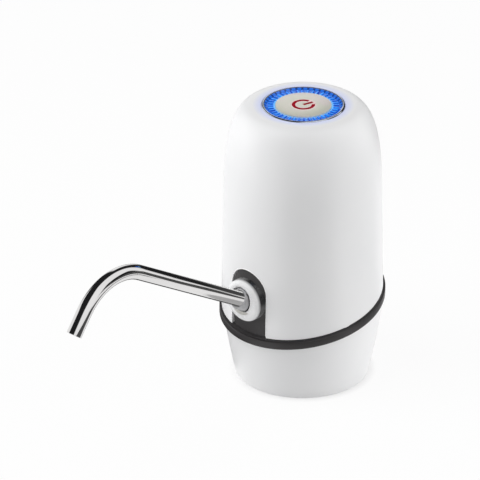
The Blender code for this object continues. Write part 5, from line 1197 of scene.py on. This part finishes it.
# %% Camera
AZIMUTH = math.radians(44.0)
ELEVATION = math.radians(26.8)
DISTANCE = 2.5
SHIFT_RIGHT = 0.02914
SHIFT_UP = 0.00272
LENS = 403.2
SENSOR = 36.0
target = Vector((0.0, AXIS_Y, 0.070))
ahead = Vector((math.sin(AZIMUTH) * math.cos(ELEVATION), -math.cos(AZIMUTH) * math.cos(ELEVATION),
                math.sin(ELEVATION)))
right = Vector((math.cos(AZIMUTH), math.sin(AZIMUTH), 0.0))
above = ahead.cross(right)
clear_selection()
bpy.ops.object.camera_add(location=target + DISTANCE * ahead - SHIFT_RIGHT * right - SHIFT_UP * above)
camera = bpy.context.object
camera.matrix_world = Matrix.Translation(camera.location) @ ahead.to_track_quat("Z", "Y").to_matrix().to_4x4()
camera.data.lens = LENS
camera.data.sensor_width = SENSOR
camera.data.clip_end = 20.0
bpy.context.scene.camera = camera
bpy.context.scene.view_settings.view_transform = "Standard"
print("camera at", [round(v, 3) for v in camera.location])

# %% [markdown]
# The floor's own light is weaker below the foot, which leaves a soft dark line where the
# dispenser stands. Masks made of the distance from the axis and the direction round it
# darken the floor for glossy rays.

# %% The floor
def seen_directly(tree):
    """1 for camera, glossy and transmission rays, else 0."""
    path = node(tree, "LightPath").outputs
    either = combined("MAXIMUM", path["Is Camera Ray"], path["Is Glossy Ray"])
    return combined("MAXIMUM", either, path["Is Transmission Ray"])


def for_gloss(tree, colour):
    """White for every ray but a glossy one, which sees a colour."""
    return blended(node(tree, "LightPath").outputs["Is Glossy Ray"], (1.0, 1.0, 1.0), colour)


bpy.ops.mesh.primitive_plane_add(size=12.0, location=(0.0, 0.0, 0.0))
floor = bpy.context.object
floor.name = "studio_floor"
floor_finish, tree, matt = new_finish("floor_white", 0.9)
put((0.86, 0.86, 0.86, 1.0), matt, "Base Color")
glow = node(tree, "Emission", {"Strength": 1.0})
mix = node(tree, "MixShader", {1: matt.outputs[0], 2: glow.outputs[0]})
put(mix.outputs[0], tree.nodes["Material Output"], "Surface")
where = place_on(tree, pivot)
reach = from_axis(where)
touch = ranged(reach, 0.45, 1.0, 0.0295, 0.0350)
put(both(ranged(seen_directly(tree), 0.36, 0.93, 0.0, 1.0), touch), mix, 0)
spot = split_up(where)
aside = combined("DIVIDE", spot["X"], reach)
behind = combined("DIVIDE", spot["Y"], reach)
ring = both(between(reach, 0.095, 0.50, 0.008), falling(between(behind, 0.0, 0.29, 0.02), 0.0, 1.0))
ring = both(ring, rising(aside, 0.25, 0.35))
far = both(falling(aside, 0.16, 0.26), rising(reach, 0.27, 0.31))
far = both(far, rising(behind, 0.50, 0.58))
other = both(between(aside, 0.53, 0.93, 0.02), rising(reach, 0.46, 0.50))
other = both(other, rising(behind, 0.28, 0.34))
under = both(falling(spot["X"], -0.028, -0.020), falling(reach, 0.11, 0.12))
card = combined("MAXIMUM", combined("MAXIMUM", ring, combined("MAXIMUM", far, other)), under)
put(for_gloss(tree, blended(card, (0.96, 0.96, 0.96), (0.02, 0.02, 0.02))), glow, "Color")
floor.data.materials.append(floor_finish)
print("nodes in the floor's finish:", len(tree.nodes))

# %% [markdown]
# Chrome is only as good as what it reflects. In a studio, dark cards stand beside a bright
# piece to draw black lines along it. Here the world and the floor play that part for glossy
# rays alone: a dark card at the left, a bright front, and a dark ring on the floor. They are
# fixed to the world and don't follow the camera. Gloss sees the floor, the light guide, its
# rim, the cap and the symbol, and no other piece, because a white cover would wash the lines
# out of the tube.

# %% The studio's cards
world = bpy.data.worlds.new("studio")
world.use_nodes = True
bpy.context.scene.world = world
tree = world.node_tree
back = tree.nodes["Background"]
put(ranged(seen_directly(tree), 0.40, 1.0, 0.0, 1.0), back, "Strength")
way = split_up(node(tree, "TexCoord").outputs["Generated"])
x, y, z = way["X"], way["Y"], way["Z"]
steep = both(ranged(z, 0.0, 0.3, 0.0, 1.0), ranged(y, 0.15, 1.0, -0.35, 0.85))
leaning = combined("SUBTRACT", combined("ADD", x, steep), ranged(y, 0.3, 0.0, -0.55, -0.15))
dark = falling(leaning, 0.20, 0.30)
above_card = both(falling(x, -0.56, -0.50), rising(y, 0.46, 0.54))
side_card = both(falling(x, -0.74, -0.66), falling(y, 0.05, 0.15))
for bright in (above_card, both(side_card, falling(z, 0.38, 0.46))):
    dark = both(dark, falling(bright, 0.0, 1.0))
line = both(both(rising(x, 0.56, 0.62), falling(z, 0.32, 0.38)), rising(y, 0.26, 0.34))
shown = blended(combined("MAXIMUM", dark, line), (0.97, 0.97, 0.97), (0.015, 0.015, 0.016))
put(for_gloss(tree, shown), back, "Color")
hidden = [piece for piece in bpy.data.objects
          if piece.type == "MESH" and piece not in (floor, cap, symbol, guide, rim)]
for piece in hidden:
    piece.visible_glossy = False
print("pieces hidden from gloss:", len(hidden))

# %% [markdown]
# Two tall soft lamps stand at the sides and a wide one hangs above. The sides are brighter
# than the front, so the white cover turns softly grey along its middle, as it does in the
# picture.

# %% Lamps
def soft_lamp(name, place, width, height, power):
    """A rectangular lamp that looks at the middle of the dispenser."""
    clear_selection()
    bpy.ops.object.light_add(type="AREA", location=place)
    lamp = bpy.context.object
    lamp.name = name
    lamp.data.shape = "RECTANGLE"
    lamp.data.size = width
    lamp.data.size_y = height
    lamp.data.energy = power
    lamp.visible_glossy = False
    aim = Vector(place) - target
    lamp.matrix_world = Matrix.Translation(place) @ aim.to_track_quat("Z", "Y").to_matrix().to_4x4()


LAMP_REACH = 1.15
LAMP_SIZE = 0.8
level = Vector((ahead.x, ahead.y, 0.0)).normalized()
overhead = target + Vector((0.0, 0.0, LAMP_REACH))
soft_lamp("left_lamp", target - LAMP_REACH * right - 0.10 * level, LAMP_SIZE, 1.0, 8.7)
soft_lamp("right_lamp", target + LAMP_REACH * right, LAMP_SIZE, LAMP_SIZE, 13.0)
soft_lamp("top_lamp", overhead - 0.50 * right + 0.20 * level, LAMP_SIZE, LAMP_SIZE, 8.8)
